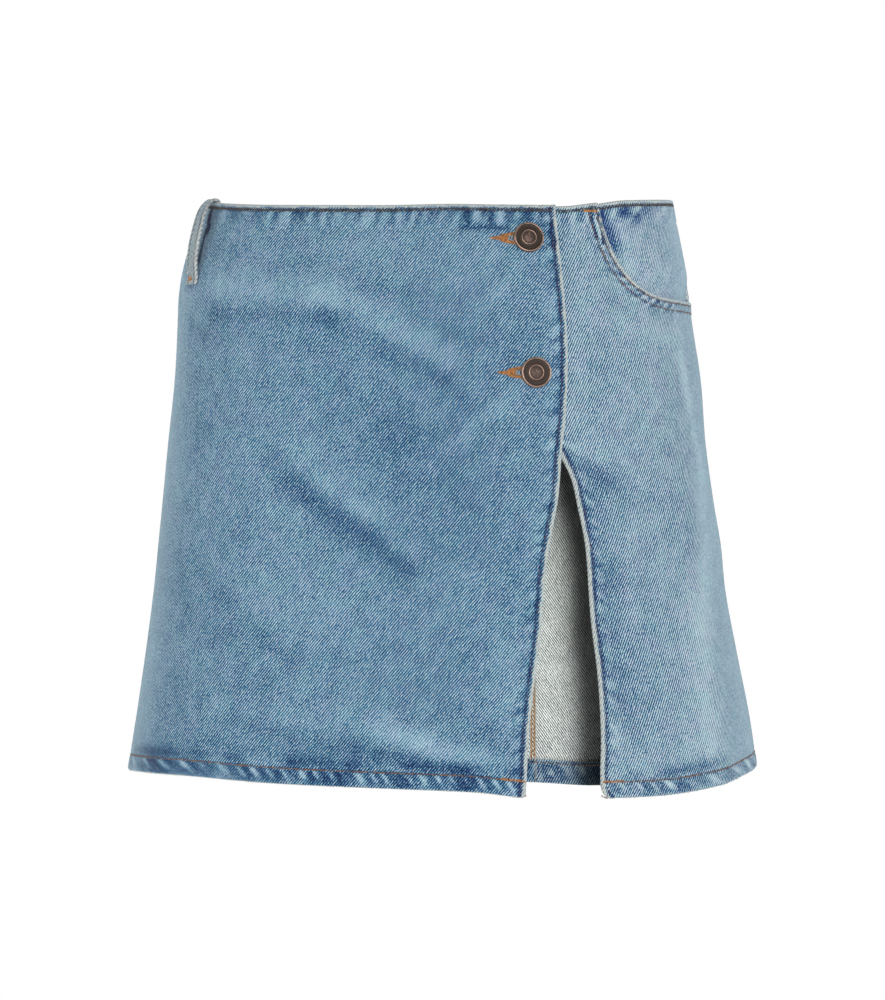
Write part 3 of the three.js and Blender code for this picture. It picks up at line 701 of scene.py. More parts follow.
def cloth_object(name, outer, inner, faces, maps, inside_map, inner_kind, painted, materials):
    """A closed shell from its two grids of points, with its map of places and its painted values."""
    rows, columns = outer.shape[:2]
    layer = rows * columns
    outside, inside, rim = faces
    quads = np.concatenate([outside, inside, rim])
    points = np.concatenate([outer.reshape(-1, 3), inner.reshape(-1, 3)]) * MM
    mesh = bpy.data.meshes.new(name)
    mesh.from_pydata(points.tolist(), [], quads.tolist())
    for material in materials:
        mesh.materials.append(material)
    index = np.zeros(len(quads), int)
    index[len(outside):len(outside) + len(inside)] = inner_kind
    mesh.polygons.foreach_set("material_index", index)
    mesh.polygons.foreach_set("use_smooth", np.ones(len(quads), bool))
    corner = quads.reshape(-1)
    flat = np.concatenate([maps.reshape(-1, 2), inside_map[0].reshape(-1, 2)])[corner]
    folded = np.concatenate([maps.reshape(-1, 2), inside_map[1].reshape(-1, 2)])[corner]
    on_turning = np.repeat(np.arange(len(quads)) >= len(outside), 4) & np.repeat(index == 0, 4)
    on_turning &= np.repeat(np.arange(len(quads)) < len(outside) + len(inside), 4)
    where = np.where(on_turning[:, None], folded, flat)
    mesh.uv_layers.new(name="cloth").data.foreach_set("uv", (where * MM).reshape(-1))
    for label, values in painted.items():
        both = np.concatenate([values[0].reshape(-1), values[1].reshape(-1)])
        mesh.attributes.new(label, "FLOAT", "POINT").data.foreach_set("value", both)
    mesh.update()
    return placed(name, mesh)


SLIT_SHADOW = table("past shadow", [
    (-60, 0.0), (-30, 0.8), (2.8, 0.82), (5.6, 0.8), (8.4, 0.7), (11.2, 0.5), (14, 0.3), (17, 0.16),
    (20, 0.07), (26, 0.0),
])
shadow_past = through(SLIT_SHADOW, "past", "shadow")


def slit_shadow(x, z):
    """The deep shadow on the inside of the back, which the panels leave where the slit lets light in."""
    edge = 1.08 * under_x((z + 199) / 1.08 - 199)
    later = 3.5 * ease((-262 - z) / 40)
    return shadow_past(edge - x - later) * ease((-110 - z) / 50)


def make_piece(piece, around, down, materials, **grid):
    """Makes the cloth shell of a piece, and keeps the facts that its stitches and its cut need."""
    angle, z = grid_places(piece, around, down, **grid)
    out, back, worn, rope, fold = piece.wall(angle, z)
    rows = piece.edge_list(angle, z)
    angle, z = round_corner(piece, angle, z)
    outer, inner = piece.at(angle, z, out), piece.at(angle, z, back)
    form = piece.at(angle, z, 0 * z)
    step = np.hypot(np.diff(form[..., 0], axis=1), np.diff(form[..., 1], axis=1))
    run = np.concatenate([np.zeros((len(z), 1)), np.cumsum(step, axis=1)], axis=1)
    start = np.array([np.interp(piece.middle, row, length) for row, length in zip(angle, run)])
    u, v = run - start[:, None], z * 1.02
    cosine, sine = math.cos(math.radians(piece.grain)), math.sin(math.radians(piece.grain))
    maps = np.stack([u * cosine - v * sine, u * sine + v * cosine], axis=-1)
    mirror_u, mirror_v, turned = u.copy(), v.copy(), np.zeros(z.shape, bool)
    for place, (kind, distance, _) in enumerate(rows):
        inside_turning = distance < EDGES[kind]["turning"]
        turned |= inside_turning
        if place in (0, 1, 4):
            mirror_v = np.where(inside_turning, v + (2 if place != 1 else -2) * distance, mirror_v)
        else:
            mirror_u = np.where(inside_turning, u + (-2 if place == 2 else 2) * distance, mirror_u)
    folded = np.stack([mirror_u, mirror_v], axis=-1)
    on_turning = turned[:-1, :-1] & turned[1:, :-1] & turned[1:, 1:] & turned[:-1, 1:]
    inner_kind = np.where(on_turning, 0, 1).reshape(-1)
    wash = fades_and_painted_light(piece, angle, z)
    # The first painted value is the wash's fades and ropes, together with painted light and shade from the
    # table of fades and painted shade in the stitch ditches; the last is painted shadow on the inside of the
    # back beside the slit.
    painted = {
        "wash": (wash + rope, np.where(turned, 0.3 * wash + rope, 0.3 * wash)),
        "worn": (worn, np.maximum(0.7 * worn, fold)),
        "shadow": (0 * z, slit_shadow(form[..., 0], z) if piece.kinds[1] == "back_hem" else 0 * z),
    }
    made = cloth_object(piece.name, outer, inner, shell_faces(*z.shape), maps, (maps, folded),
                        inner_kind, painted, materials)
    MADE[piece.name] = made
    area = float(np.sum(step[:-1] * -np.diff(z, axis=0)[:, :-1])) * 1e-6
    tall = float((z.max(axis=0) - z.min(axis=0)).max()) * MM
    piece.flat = (float(run[:, -1].max()) * MM, tall)
    piece.area = min(area, 0.999 * piece.flat[0] * piece.flat[1])
    print(piece.name, "grid", z.shape, "flat", [round(x, 3) for x in piece.flat], "area", round(area, 4))
    return made


# %% [markdown]
# ## Shader sums written as Python
# A material is a network of nodes. Wrapping one output of a node in a small class lets the sums
# be written as plain Python, and each + or * adds the Math node that it stands for.
# Every other node comes from the one function add(), which sets its settings first and its inputs next.

# %% The wire class
class Wire:
    """One number in a material's network, on which Python's sums work."""

    def __init__(self, tree, node, out=0):
        self.tree, self.node = tree, node
        self.socket = node.outputs[out] if node.outputs else None

    def out(self, which):
        return Wire(self.tree, self.node, which)

    def math(self, how, *values):
        return add(self.tree, "ShaderNodeMath", {"operation": how}, dict(enumerate(values)))

    def __add__(self, other):
        return self.math("ADD", self, other)

    def __sub__(self, other):
        return self.math("SUBTRACT", self, other)

    def __rsub__(self, other):
        return self.math("SUBTRACT", other, self)

    def __mul__(self, other):
        return self.math("MULTIPLY", self, other)

    def __truediv__(self, other):
        return self.math("DIVIDE", self, other)

    def __pow__(self, other):
        return self.math("POWER", self, other)

    __radd__, __rmul__ = __add__, __mul__

    def wave(self):
        """A sine wave that repeats each time the value grows by 1."""
        turned = self * (2 * math.pi)
        return turned.math("SINE", turned)

    def step_between(self, low, high):
        """0 below low, 1 above high, and smooth between them."""
        settings = {"interpolation_type": "SMOOTHSTEP"}
        return add(self.tree, "ShaderNodeMapRange", settings, {0: self, 1: low, 2: high})


def add(tree, kind, settings=None, inputs=None, out=0):
    """Adds a node: its settings first, then the values or wires of its inputs."""
    node = tree.nodes.new(kind)
    for name, value in (settings or {}).items():
        if name == "stops":
            ramp = node.color_ramp
            while len(ramp.elements) < len(value):
                ramp.elements.new(0.5)
            for element, (place, colour) in zip(ramp.elements, value):
                element.position, element.color = place, (*colour, 1)
        else:
            setattr(node, name, value)
    for where, value in (inputs or {}).items():
        if isinstance(value, Wire):
            tree.links.new(value.socket, node.inputs[where])
        else:
            node.inputs[where].default_value = value
    return Wire(tree, node, out)


def linear(red, green, blue, light=1.0):
    """A colour as a screen shows it, turned to the plain light that a shader works in."""
    def one(value):
        value = value / 255
        return value / 12.92 if value < 0.04045 else ((value + 0.055) / 1.055) ** 2.4
    return tuple(min(one(value) / light, 1.0) for value in (red, green, blue))


def new_material(name):
    material = bpy.data.materials.new(name)
    material.use_nodes = True
    material.node_tree.nodes.clear()
    return material, material.node_tree


print("helpers for materials are ready")

# %% [markdown]
# ## The denim
# Denim is a twill: blue threads float over white ones in steps, which gives fine slanting lines.
# Old, washed denim also has uneven threads that show as short streaks down the cloth, and a soft mottle.
# The material reads the cloth's own map, in millimetres, so the lines follow each piece as it was cut.
# The same function makes the outside, the paler panels and the white-threaded inside from other tables.

# %% The denim material
LIGHT_FACTOR = 1.75


def denim(name, stops, worn_colour, painted_sheen_colour, lean=61, pitch=1.51, twill=0.45, mottle=1.0,
          seed=0.0, hue=0.045, depth=0.00022):
    """Washed denim. stops are its colours from its dark hollows to its pale ridges."""
    material, tree = new_material(name)
    place = add(tree, "ShaderNodeUVMap", {"uv_map": "cloth"})
    axes = add(tree, "ShaderNodeSeparateXYZ", {}, {0: place})
    u, v = axes * 1000, axes.out(1) * 1000

    def mottled(wide, tall, detail=2.0, shift=0.0):
        where = add(tree, "ShaderNodeCombineXYZ", {}, {0: u / wide, 1: v / tall, 2: seed + shift})
        noise = add(tree, "ShaderNodeTexNoise", {}, {"Vector": where, "Scale": 1.0, "Detail": detail})
        return noise - 0.5

    def blend(kind, factor, first, second):
        settings = {"data_type": "RGBA", "blend_type": kind}
        return add(tree, "ShaderNodeMix", settings, {0: factor, 6: first, 7: second}, out=2)

    speckle, streak = mottled(1.9, 1.9, 3.0, 7.0), mottled(1.1, 16.0, 2.0, 13.0)
    cloud, patch = mottled(9.0, 11.0, 3.0, 23.0), mottled(46.0, 60.0, 2.0, 31.0)
    slant, upright = math.sin(math.radians(lean)), math.cos(math.radians(lean))
    turns, run = (u * slant - v * upright) / pitch, (u * upright + v * slant) / 1.5
    cells = add(tree, "ShaderNodeCombineXYZ", {}, {0: turns * 1.15, 1: run, 2: seed + 3.0})
    float_length = add(tree, "ShaderNodeTexNoise", {}, {"Vector": cells, "Scale": 1.0, "Detail": 1.0}) - 0.5
    ridge = (turns + speckle * 0.65).wave()
    # The first attribute holds the wash's fades and ropes together with painted light and shade; it moves
    # the tone paler or darker.
    wash = add(tree, "ShaderNodeAttribute", {"attribute_name": "wash"}, out=2)
    worn = add(tree, "ShaderNodeAttribute", {"attribute_name": "worn"}, out=2)
    tone = 0.5 + ridge * (twill * (1.0 + float_length * 2.4)) + wash * 0.55
    tone = tone + (float_length * 0.7 + speckle * 0.62 + streak * 0.32) * mottle
    tone = tone + (cloud * 0.4 + patch * 0.3) * mottle
    blue = add(tree, "ShaderNodeValToRGB", {"stops": stops}, {0: tone})
    greener = mottled(13.0, 15.0, 3.0, 41.0).step_between(-0.17, 0.17)
    tint = blend("MIX", greener, (1 + hue, 1 - hue * 0.5, 1 + hue * 0.6, 1), (1 - hue, 1 + hue * 0.4, 1, 1))
    rubbed = (worn + float_length * 0.8 + speckle * 0.6 + ridge * 0.3).step_between(0.2, 1.25)
    mixed = blend("MIX", rubbed, blend("MULTIPLY", 1.0, blue, tint), (*worn_colour, 1))
    # Painted sheen: towards grazing angles the colour is mixed towards a pale one, as the fuzz of the cloth
    # catches the light; there is less of it where the cloth is painted dark.
    grazing = add(tree, "ShaderNodeLayerWeight", {}, {"Blend": 0.5}, out=1)
    painted_sheen = grazing.step_between(0.34, 1.0) * (0.58 + ridge * 0.5 + speckle * 0.8)
    painted_sheen = painted_sheen * wash.step_between(-1.4, -0.1)
    mixed = blend("MIX", painted_sheen, mixed, (*painted_sheen_colour, 1))
    shadow = add(tree, "ShaderNodeAttribute", {"attribute_name": "shadow"}, out=2)
    mixed = blend("MIX", shadow, mixed, (0, 0, 0, 1))
    height = ridge * 0.5 + float_length * 0.9 + streak * 0.4 + speckle * 0.4
    bump = add(tree, "ShaderNodeBump", {}, {"Strength": 0.7, "Distance": depth, "Height": height})
    surface = add(tree, "ShaderNodeBsdfPrincipled", {}, {
        "Base Color": mixed, "Roughness": 0.92, "Specular IOR Level": 0.15,
        "Sheen Weight": 0.12, "Sheen Roughness": 0.45, "Normal": bump,
    })
    add(tree, "ShaderNodeOutputMaterial", {}, {0: surface})
    return material


def tones(*rows, light=LIGHT_FACTOR):
    """A ramp's stops from rows of a place and a screen colour."""
    return [(place, linear(*colour, light)) for place, colour in rows]


INSIDE_LIGHT = 1.0
# The pale colour of the painted sheen at grazing angles.
PAINTED_SHEEN_COLOUR = linear(192, 226, 241, LIGHT_FACTOR * 0.8)
outer_denim = denim(
    "outer_denim",
    tones((0.0, (16, 38, 86)), (0.12, (32, 72, 112)), (0.3, (56, 107, 144)), (0.5, (86, 138, 172)),
          (0.74, (125, 175, 202)), (1.0, (194, 218, 226))),
    linear(214, 222, 216, LIGHT_FACTOR), PAINTED_SHEEN_COLOUR, twill=0.47, mottle=1.1, seed=1.0)
pale_denim = denim(
    "pale_denim",
    tones((0.0, (26, 56, 104)), (0.12, (56, 98, 134)), (0.3, (94, 140, 170)), (0.5, (132, 176, 199)),
          (0.74, (165, 202, 217)), (1.0, (212, 226, 229))),
    linear(216, 223, 217, LIGHT_FACTOR), PAINTED_SHEEN_COLOUR, twill=0.55, mottle=1.25, seed=2.0)
facing_denim = denim(
    "facing_denim",
    tones((0.0, (36, 68, 124)), (0.15, (86, 124, 162)), (0.3, (128, 166, 190)), (0.48, (158, 192, 208)),
          (0.74, (184, 209, 219)), (1.0, (218, 229, 231))),
    linear(216, 223, 217, LIGHT_FACTOR), PAINTED_SHEEN_COLOUR, twill=0.45, mottle=1.25, seed=3.0)
inside_denim = denim(
    "inside_denim",
    tones((0.0, (66, 76, 84)), (0.28, (132, 141, 140)), (0.5, (186, 192, 187)),
          (0.74, (212, 217, 212)), (1.0, (234, 236, 231)), light=INSIDE_LIGHT),
    # Its worn colour, then the colour of its painted sheen.
    linear(214, 216, 211, INSIDE_LIGHT), linear(200, 202, 198, INSIDE_LIGHT),
    twill=0.55, hue=0.012, seed=4.0)
denims = (outer_denim, pale_denim, facing_denim, inside_denim)
print("denims:", ", ".join(material.name for material in denims))

# %% [markdown]
# ## The front wrap panel
# The right front of the skirt is one panel that runs from the right side seam across to its own
# free edge on the left thigh. It stands off by a few millimetres where it laps over the other front.
# Its straight grain is tilted, so its twill lines lie flatter than those of the panel under it.

# %% Front wrap panel
wrap = Piece("front_wrap_cloth", first=side_seam(-1, -1), last=wrap_edge, top=waist_line, bottom=hem_line,
             kinds=("waist", "hem", "seam", "front"), rise=lap_rise, seed=1.3, grain=9.0, middle=-20.0)
make_piece(wrap, 2.0, 2.15, [outer_denim, inside_denim])

# %% [markdown]
# ## The front under panel and the pocket
# The left front has a slit along its free edge and a scooped pocket mouth cut out of its top corner.
# The mouth's curve is nearly upright at first, so the grid gets extra columns there.
# The facing is the cloth that shows in the mouth: it lies behind the panel and comes up flush beyond it.

# %% Front under panel and pocket facing
under = Piece("front_under_cloth", first=under_edge, last=side_seam(1, -1), top=mouth_line, bottom=hem_line,
              kinds=("mouth", "hem", "front", "seam"), seed=2.1, middle=60.0)
column_angles = np.concatenate([
    np.arange(16.2, 34.6, 0.85), np.arange(34.9, 39.3, 0.24), np.arange(39.4, 42.2, 0.145),
    np.arange(42.3, 46.5, 0.26), np.arange(46.8, 52, 0.42), np.arange(52.6, 92.2, 0.8)])
low, high = float(under_edge(-6)) + 13 / 2.2, 93 - 2.8 / 2.4
column_shares = (column_angles - low) / (high - low)
make_piece(under, 2.0, 2.1, [pale_denim, inside_denim], shares=column_shares, level=-96)


def facing_bottom(angle):
    """The facing ends a little below the mouth, behind the panel."""
    return mouth_edge(np.maximum(angle, MOUTH_ANGLE + 3)) - FACING_TUCK_DOWN


facing = Piece("pocket_facing_cloth", first=lambda z: FACING_TUCK_ANGLE + 0 * z, last=side_seam(1, -1),
               top=waist_line, bottom=facing_bottom,
               kinds=("waist", "hidden", "hidden", "seam"), rise=facing_rise, seed=3.7, middle=60.0)
make_piece(facing, 1.6, 1.6, [facing_denim, inside_denim], at_height=-30)

# %% [markdown]
# ## The back
# The back has three panels, with two long seams that run down over the seat.
# Their insides show through the slit, so they get the same care: a deep turned-up hem,
# flat seam allowances and the white-threaded side of the cloth.

# %% Back panels
back_kinds = ("waist", "back_hem", "seam", "seam")
back_right = Piece("back_right_cloth", first=back_seam(-1, 1), last=lambda z: 360 + side_seam(-1, 1)(z),
                   top=waist_line, bottom=hem_line, kinds=back_kinds, seed=4.9, middle=240.0)
back_centre = Piece("back_centre_cloth", first=back_seam(1, -1), last=back_seam(-1, -1),
                    top=waist_line, bottom=hem_line, kinds=back_kinds, seed=5.7, middle=180.0)
back_left = Piece("back_left_cloth", first=side_seam(1, 1), last=back_seam(1, 1),
                  top=waist_line, bottom=hem_line, kinds=back_kinds, seed=6.1, middle=120.0)
make_piece(back_right, 2.6, 2.6, [outer_denim, inside_denim])
make_piece(back_centre, 2.6, 2.6, [outer_denim, inside_denim])
make_piece(back_left, 2.6, 2.6, [pale_denim, inside_denim])

# %% [markdown]
# ## Copper and thread
# The buttons are plated in copper that has gone dark, and is bright only where cloth has rubbed it.
# The threads are thick cotton. They are bright orange where they lie thick, as round a buttonhole,
# and washed to a dull brown in the long rows.

# %% Copper and thread materials
def copper_material():
    material, tree = new_material("aged_copper")
    place = add(tree, "ShaderNodeTexCoord", {}, {}, out=3)
    spots = add(tree, "ShaderNodeTexNoise", {}, {"Vector": place, "Scale": 900.0, "Detail": 3.0})
    large = add(tree, "ShaderNodeTexNoise", {}, {"Vector": place, "Scale": 260.0, "Detail": 2.0})
    rubbed = add(tree, "ShaderNodeAttribute", {"attribute_name": "worn"}, out=2)
    bright = (rubbed * 0.8 + (spots - 0.5) * 0.7 + (large - 0.5) * 0.6).step_between(0.15, 0.9)
    stops = [(0.0, linear(56, 46, 41)), (0.45, linear(92, 74, 66)), (1.0, linear(146, 120, 106))]
    colour = add(tree, "ShaderNodeValToRGB", {"stops": stops}, {0: bright})
    rough = 0.62 - bright * 0.22 + (spots - 0.5) * 0.2
    bump = add(tree, "ShaderNodeBump", {}, {"Strength": 0.35, "Distance": 0.0002, "Height": spots})
    surface = add(tree, "ShaderNodeBsdfPrincipled", {}, {
        "Base Color": colour, "Metallic": 0.75, "Roughness": rough, "Normal": bump})
    add(tree, "ShaderNodeOutputMaterial", {}, {0: surface})
    return material


THREAD_LIGHT = 1.45


def thread_material(name, dark, light):
    material, tree = new_material(name)
    place = add(tree, "ShaderNodeTexCoord", {}, {}, out=3)
    uneven = add(tree, "ShaderNodeTexNoise", {}, {"Vector": place, "Scale": 700.0, "Detail": 3.0})
    stops = [(0.3, linear(*dark, THREAD_LIGHT)), (0.7, linear(*light, THREAD_LIGHT))]
    colour = add(tree, "ShaderNodeValToRGB", {"stops": stops}, {0: uneven})
    bump = add(tree, "ShaderNodeBump", {}, {"Strength": 0.4, "Distance": 0.0001, "Height": uneven})
    surface = add(tree, "ShaderNodeBsdfPrincipled", {}, {
        "Base Color": colour, "Roughness": 0.75, "Sheen Weight": 0.2, "Specular IOR Level": 0.25,
        "Normal": bump})
    add(tree, "ShaderNodeOutputMaterial", {}, {0: surface})
    return material


aged_copper = copper_material()
orange_thread = thread_material("orange_thread", (112, 70, 38), (214, 144, 76))
brown_thread = thread_material("brown_thread", (54, 44, 48), (144, 100, 68))
waist_thread = thread_material("waist_thread", (28, 28, 34), (84, 74, 70))
edge_thread = thread_material("edge_thread", (34, 38, 76), (84, 74, 98))
gold_thread = thread_material("gold_thread", (122, 84, 38), (214, 156, 74))
frayed_thread = thread_material("frayed_thread", (96, 84, 80), (176, 164, 146))
white_thread = thread_material("inner_thread", (168, 160, 146), (206, 200, 186))
print("threads: orange, brown, gold, waist, edge, frayed and inner")

# %% [markdown]
# ## Stitches with Geometry Nodes
# A row of stitches is the same small shape many times along a line, which is what Geometry Nodes do well.
# The line is a chain of points that lies on the cloth, and each point knows the way out of it.
# The tree turns the chain into a curve, spaces points along it and sets a stitch on each, turned
# to follow the line. Its inputs are the stitch's sizes, so one tree makes every row on the skirt.

# %% The tree for rows of stitches
THREAD_SIDES, THREAD_RINGS = 8, 5


def open_tree(name, sizes):
    """A tree for threads, with the named sizes, a seed and a thread, and its input node."""
    tree = bpy.data.node_groups.new(name, "GeometryNodeTree")
    sockets = [("Geometry", "Geometry"), *((size, "Float") for size in sizes)]
    sockets += [("Seed", "Int"), ("Thread", "Material")]
    for label, kind in sockets:
        tree.interface.new_socket(name=label, in_out="INPUT", socket_type="NodeSocket" + kind)
    tree.interface.new_socket(name="Geometry", in_out="OUTPUT", socket_type="NodeSocketGeometry")
    return tree, add(tree, "NodeGroupInput")


def stored(tree, name, kind="FLOAT_VECTOR"):
    """A value that each point of the line or marks carries."""
    return add(tree, "GeometryNodeInputNamedAttribute", {"data_type": kind}, {"Name": name})


def uneven_by(tree, entry, low, high):
    """A random number between low and high for each thread."""
    inputs = {2: low, 3: high, "Seed": entry.out("Seed")}
    return add(tree, "FunctionNodeRandomValue", {"data_type": "FLOAT"}, inputs, out=1)


def set_threads(tree, entry, points, out, along, lean, size):
    """Sets a thread on each point, lying along the line and turned by its lean.

    A thread is a low-sided ball, stretched to the length, width and height that are wanted.
    """
    axes = {"primary_axis": "Z", "secondary_axis": "X"}
    lying = add(tree, "FunctionNodeAxesToRotation", axes, {"Primary Axis": out, "Secondary Axis": along})
    about_z = add(tree, "ShaderNodeCombineXYZ", {}, {2: lean})
    spin = add(tree, "FunctionNodeEulerToRotation", {}, {0: about_z})
    turn = add(tree, "FunctionNodeRotateRotation", {"rotation_space": "LOCAL"}, {0: lying, 1: spin})
    ball = add(tree, "GeometryNodeMeshUVSphere", {}, {
        "Segments": THREAD_SIDES, "Rings": THREAD_RINGS, "Radius": 0.5})
    threads_on = add(tree, "GeometryNodeInstanceOnPoints", {}, {
        "Points": points, "Instance": ball, "Rotation": turn, "Scale": size})
    real = add(tree, "GeometryNodeRealizeInstances", {}, {0: threads_on})
    smooth = add(tree, "GeometryNodeSetShadeSmooth", {}, {0: real})
    coloured = add(tree, "GeometryNodeSetMaterial", {}, {0: smooth, "Material": entry.out("Thread")})
    add(tree, "NodeGroupOutput", {}, {0: coloured})


def row_tree():
    sizes = ["Pitch", "Length", "Width", "Height", "Lean", "Unevenness"]
    tree, entry = open_tree("stitches_along_a_row", sizes)
    curve = add(tree, "GeometryNodeMeshToCurve", {}, {0: entry.out("Geometry")})
    points = add(tree, "GeometryNodeResampleCurve", {"mode": "LENGTH"},
                 {"Curve": curve, "Length": entry.out("Pitch")})
    most = entry.out("Unevenness")
    uneven = uneven_by(tree, entry, 1.0 - most, 1.0 + most)
    size = add(tree, "ShaderNodeCombineXYZ", {}, {
        0: entry.out("Length") * uneven, 1: entry.out("Width") * uneven, 2: entry.out("Height")})
    tangent = add(tree, "GeometryNodeInputTangent")
    set_threads(tree, entry, points, stored(tree, "out"), tangent, entry.out("Lean"), size)
    return tree


def run_tree(source, tree, name, inputs):
    """Runs a tree on an object, keeps its result as a plain mesh, and removes what made it."""
    modifier = source.modifiers.new("tree", "NODES")
    modifier.node_group = tree
    for item in tree.interface.items_tree:
        if item.in_out == "INPUT" and item.name in inputs:
            modifier[item.identifier] = inputs[item.name]
    graph = bpy.context.evaluated_depsgraph_get()
    mesh = bpy.data.meshes.new_from_object(source.evaluated_get(graph))
    mesh.name = name
    bpy.data.objects.remove(source)
    return placed(name, mesh)


STITCHES = row_tree()
print("the tree for rows has", len(STITCHES.nodes), "nodes")

# %% [markdown]
# ## Rows along the edges
# Each row is told by its piece, the edge that it follows and its distance from it.
# The function finds the places on the cloth's outside or inside, so the thread always lies on the surface.

# %% Finding a row's places on a piece
def on_piece(piece, angle, z, side, lift):
    """Points on a piece's outside (side 1) or inside (side -1), and the way out of the cloth there."""
    points = piece.outside(angle, z, lift) if side > 0 else piece.inside(angle, z, lift)
    return points, side * oval_normal(angle, z)


def row_beside(piece, edge, distance, start=0.0, end=0.0, step=1.3):
    """Angles and heights along one of a piece's edges, start and end millimetres short of its ends.

    Below 0, start counts from the last end, and end from the first one.
    """
    if edge in ("top", "bottom"):
        line = piece.top if edge == "top" else piece.bottom
        height = float(line((piece.first(-200) + piece.last(-200)) / 2))
        first, last = float(piece.first(height)), float(piece.last(height))
        if piece is under and edge == "top":
            last = MOUTH_ANGLE
        near_first, near_last = float(degree_length(first, height)), float(degree_length(last, height))
        first, last = (first + start / near_first if start >= 0 else last + start / near_last,
                       last - end / near_last if end >= 0 else first - end / near_first)
        count = max(3, int((last - first) * HEM_DEGREE / step))
        angle = np.linspace(first, last, count)
        return angle, line(angle) + (-distance if edge == "top" else distance)
    side, sign = (piece.first, 1) if edge == "first" else (piece.last, -1)
    at_angle = float(side(-200))
    z = np.arange(float(piece.top(at_angle)) - start, float(piece.bottom(at_angle)) + end, -step)
    per = degree_length(side(z), z)
    steep = np.sqrt(1 + ((side(z + 1) - side(z - 1)) / 2 * per) ** 2)
    return side(z) + sign * distance * steep / per, z


def mouth_row(distance, start=2.0, end=2.0):
    """Angles and heights at a distance outside the pocket's mouth."""
    around = np.linspace(MOUTH_ANGLE, 92.6, 260)
    knots = np.stack([around * FRONT_DEGREE, mouth_edge(around)], axis=-1)
    along = np.gradient(knots, axis=0)
    along /= np.linalg.norm(along, axis=1, keepdims=True)
    moved = knots + distance * np.stack([along[:, 1], -along[:, 0]], axis=-1)
    angle, z = moved[:, 0] / FRONT_DEGREE, moved[:, 1]
    keep = (z < waist_line(angle) - start) & (angle < SIDE_SEAM - end / SIDE_DEGREE)
    return angle[keep], z[keep]


def stitch_rows(name, rows, thread, **sizes):
    """One object with all the stitches of one kind on one piece of the skirt."""
    points, ways, edges = [], [], []
    for piece, angle, z, side, lift in rows:
        place, way = on_piece(piece, np.asarray(angle), np.asarray(z), side, lift)
        first = len(points)
        points += (place * MM).tolist()
        ways += way.tolist()
        edges += [(first + i, first + i + 1) for i in range(len(place) - 1)]
    mesh = bpy.data.meshes.new(name)
    mesh.from_pydata(points, edges, [])
    outward = mesh.attributes.new("out", "FLOAT_VECTOR", "POINT")
    outward.data.foreach_set("vector", np.array(ways).reshape(-1))
    source = placed(name + "_line", mesh)
    inputs = {key.capitalize(): sizes[key] * MM for key in ("pitch", "length", "width", "height")}
    inputs |= {"Lean": math.radians(sizes.get("lean", 0.0)), "Unevenness": sizes.get("unevenness", 0.15)}
    inputs |= {"Seed": int(sizes.get("seed", 3)), "Thread": thread}
    made = run_tree(source, STITCHES, name, inputs)
    MADE[name] = made
    print(name, len(made.data.polygons), "faces")
    return made


def rows_on(pieces, edge, distance, side, start=0.0, end=0.0, lift=0.25):
    return [(piece, *row_beside(piece, edge, distance, start, end), side, lift) for piece in pieces]


# %% Rows on the hem, waist and front edges
backs = (back_left, back_centre, back_right)
HEM, BACK_HEM = EDGES["hem"]["rows"][0], EDGES["back_hem"]["rows"][0]

rows = rows_on([wrap], "bottom", HEM, 1, 1, 16) + rows_on([under], "bottom", HEM, 1, 16, 1)
stitch_rows("hem_stitches_front", rows, brown_thread,
            pitch=2.7, length=2.6, width=0.95, height=0.7, lean=6, unevenness=0.25, seed=11)
rows = rows_on(backs, "bottom", BACK_HEM, 1, 1, 1)
stitch_rows("hem_stitches_back", rows, brown_thread,
            pitch=2.7, length=2.35, width=0.75, height=0.6, lean=5, seed=12)
rows = rows_on(backs, "bottom", BACK_HEM, -1, 1, 1)
rows += rows_on([wrap], "bottom", HEM, -1, 1, 4) + rows_on([under], "bottom", HEM, -1, 4, 1)
stitch_rows("hem_stitches_inside", rows, brown_thread,
            pitch=2.7, length=2.35, width=0.8, height=0.6, lean=4, seed=13)
rows = rows_on([wrap], "bottom", HEM, 1, -16, 1.5) + rows_on([under], "bottom", HEM, 1, 1.5, -16)
rows += rows_on([wrap], "bottom", HEM + 0.8, 1, -14.6, 2.2)
rows += rows_on([under], "bottom", HEM + 0.8, 1, 2.4, -14.5)
stitch_rows("hem_backtacks", rows, orange_thread,
            pitch=2.0, length=2.1, width=0.85, height=0.75, lean=4, seed=14)
for name, lean, later in (("waist_zig", 52, 0.0), ("waist_zag", -52, 1.15)):
    rows = rows_on([wrap], "top", 3.8, 1, 1 + later, 4, 0.5)
    rows += rows_on(backs, "top", 3.8, 1, 1 + later, 1, 0.5)
    rows += rows_on([under], "top", 3.6, 1, 4 + later, 2, 0.45)
    rows += rows_on([facing], "top", 3.6, 1, 14 + later, 1, 0.45)
    stitch_rows(name, rows, waist_thread,
                pitch=2.3, length=3.0, width=0.95, height=0.8, lean=lean, unevenness=0.2, seed=15)
rows = rows_on([wrap], "top", 12.5, -1, 1, 4) + rows_on(backs, "top", 12.5, -1, 1, 1)
stitch_rows("waist_stitches_inside", rows, brown_thread,
            pitch=2.7, length=2.3, width=0.7, height=0.55, lean=5, seed=16)
rows = rows_on([wrap], "last", 3.9, 1, 2, 3) + rows_on([under], "first", 3.9, 1, 2, 3)
stitch_rows("front_edge_stitches", rows, edge_thread,
            pitch=3.0, length=2.2, width=1.0, height=0.7, lean=8, unevenness=0.3, seed=17)
rows = [(under, *mouth_row(distance), 1, 0.3) for distance in (2.5, 7.3)]
stitch_rows("pocket_stitches", rows, brown_thread,
            pitch=2.3, length=2.0, width=0.85, height=0.6, lean=8, unevenness=0.3, seed=18)

# %% [markdown]
# ## Threads set one by one
# Buttonholes, bar tacks and chain stitches are threads that don't follow a single line.
# Each one is a point with its own direction, its way out of the cloth and its length.
# The second tree sets a thread on each point and stretches it to that length.

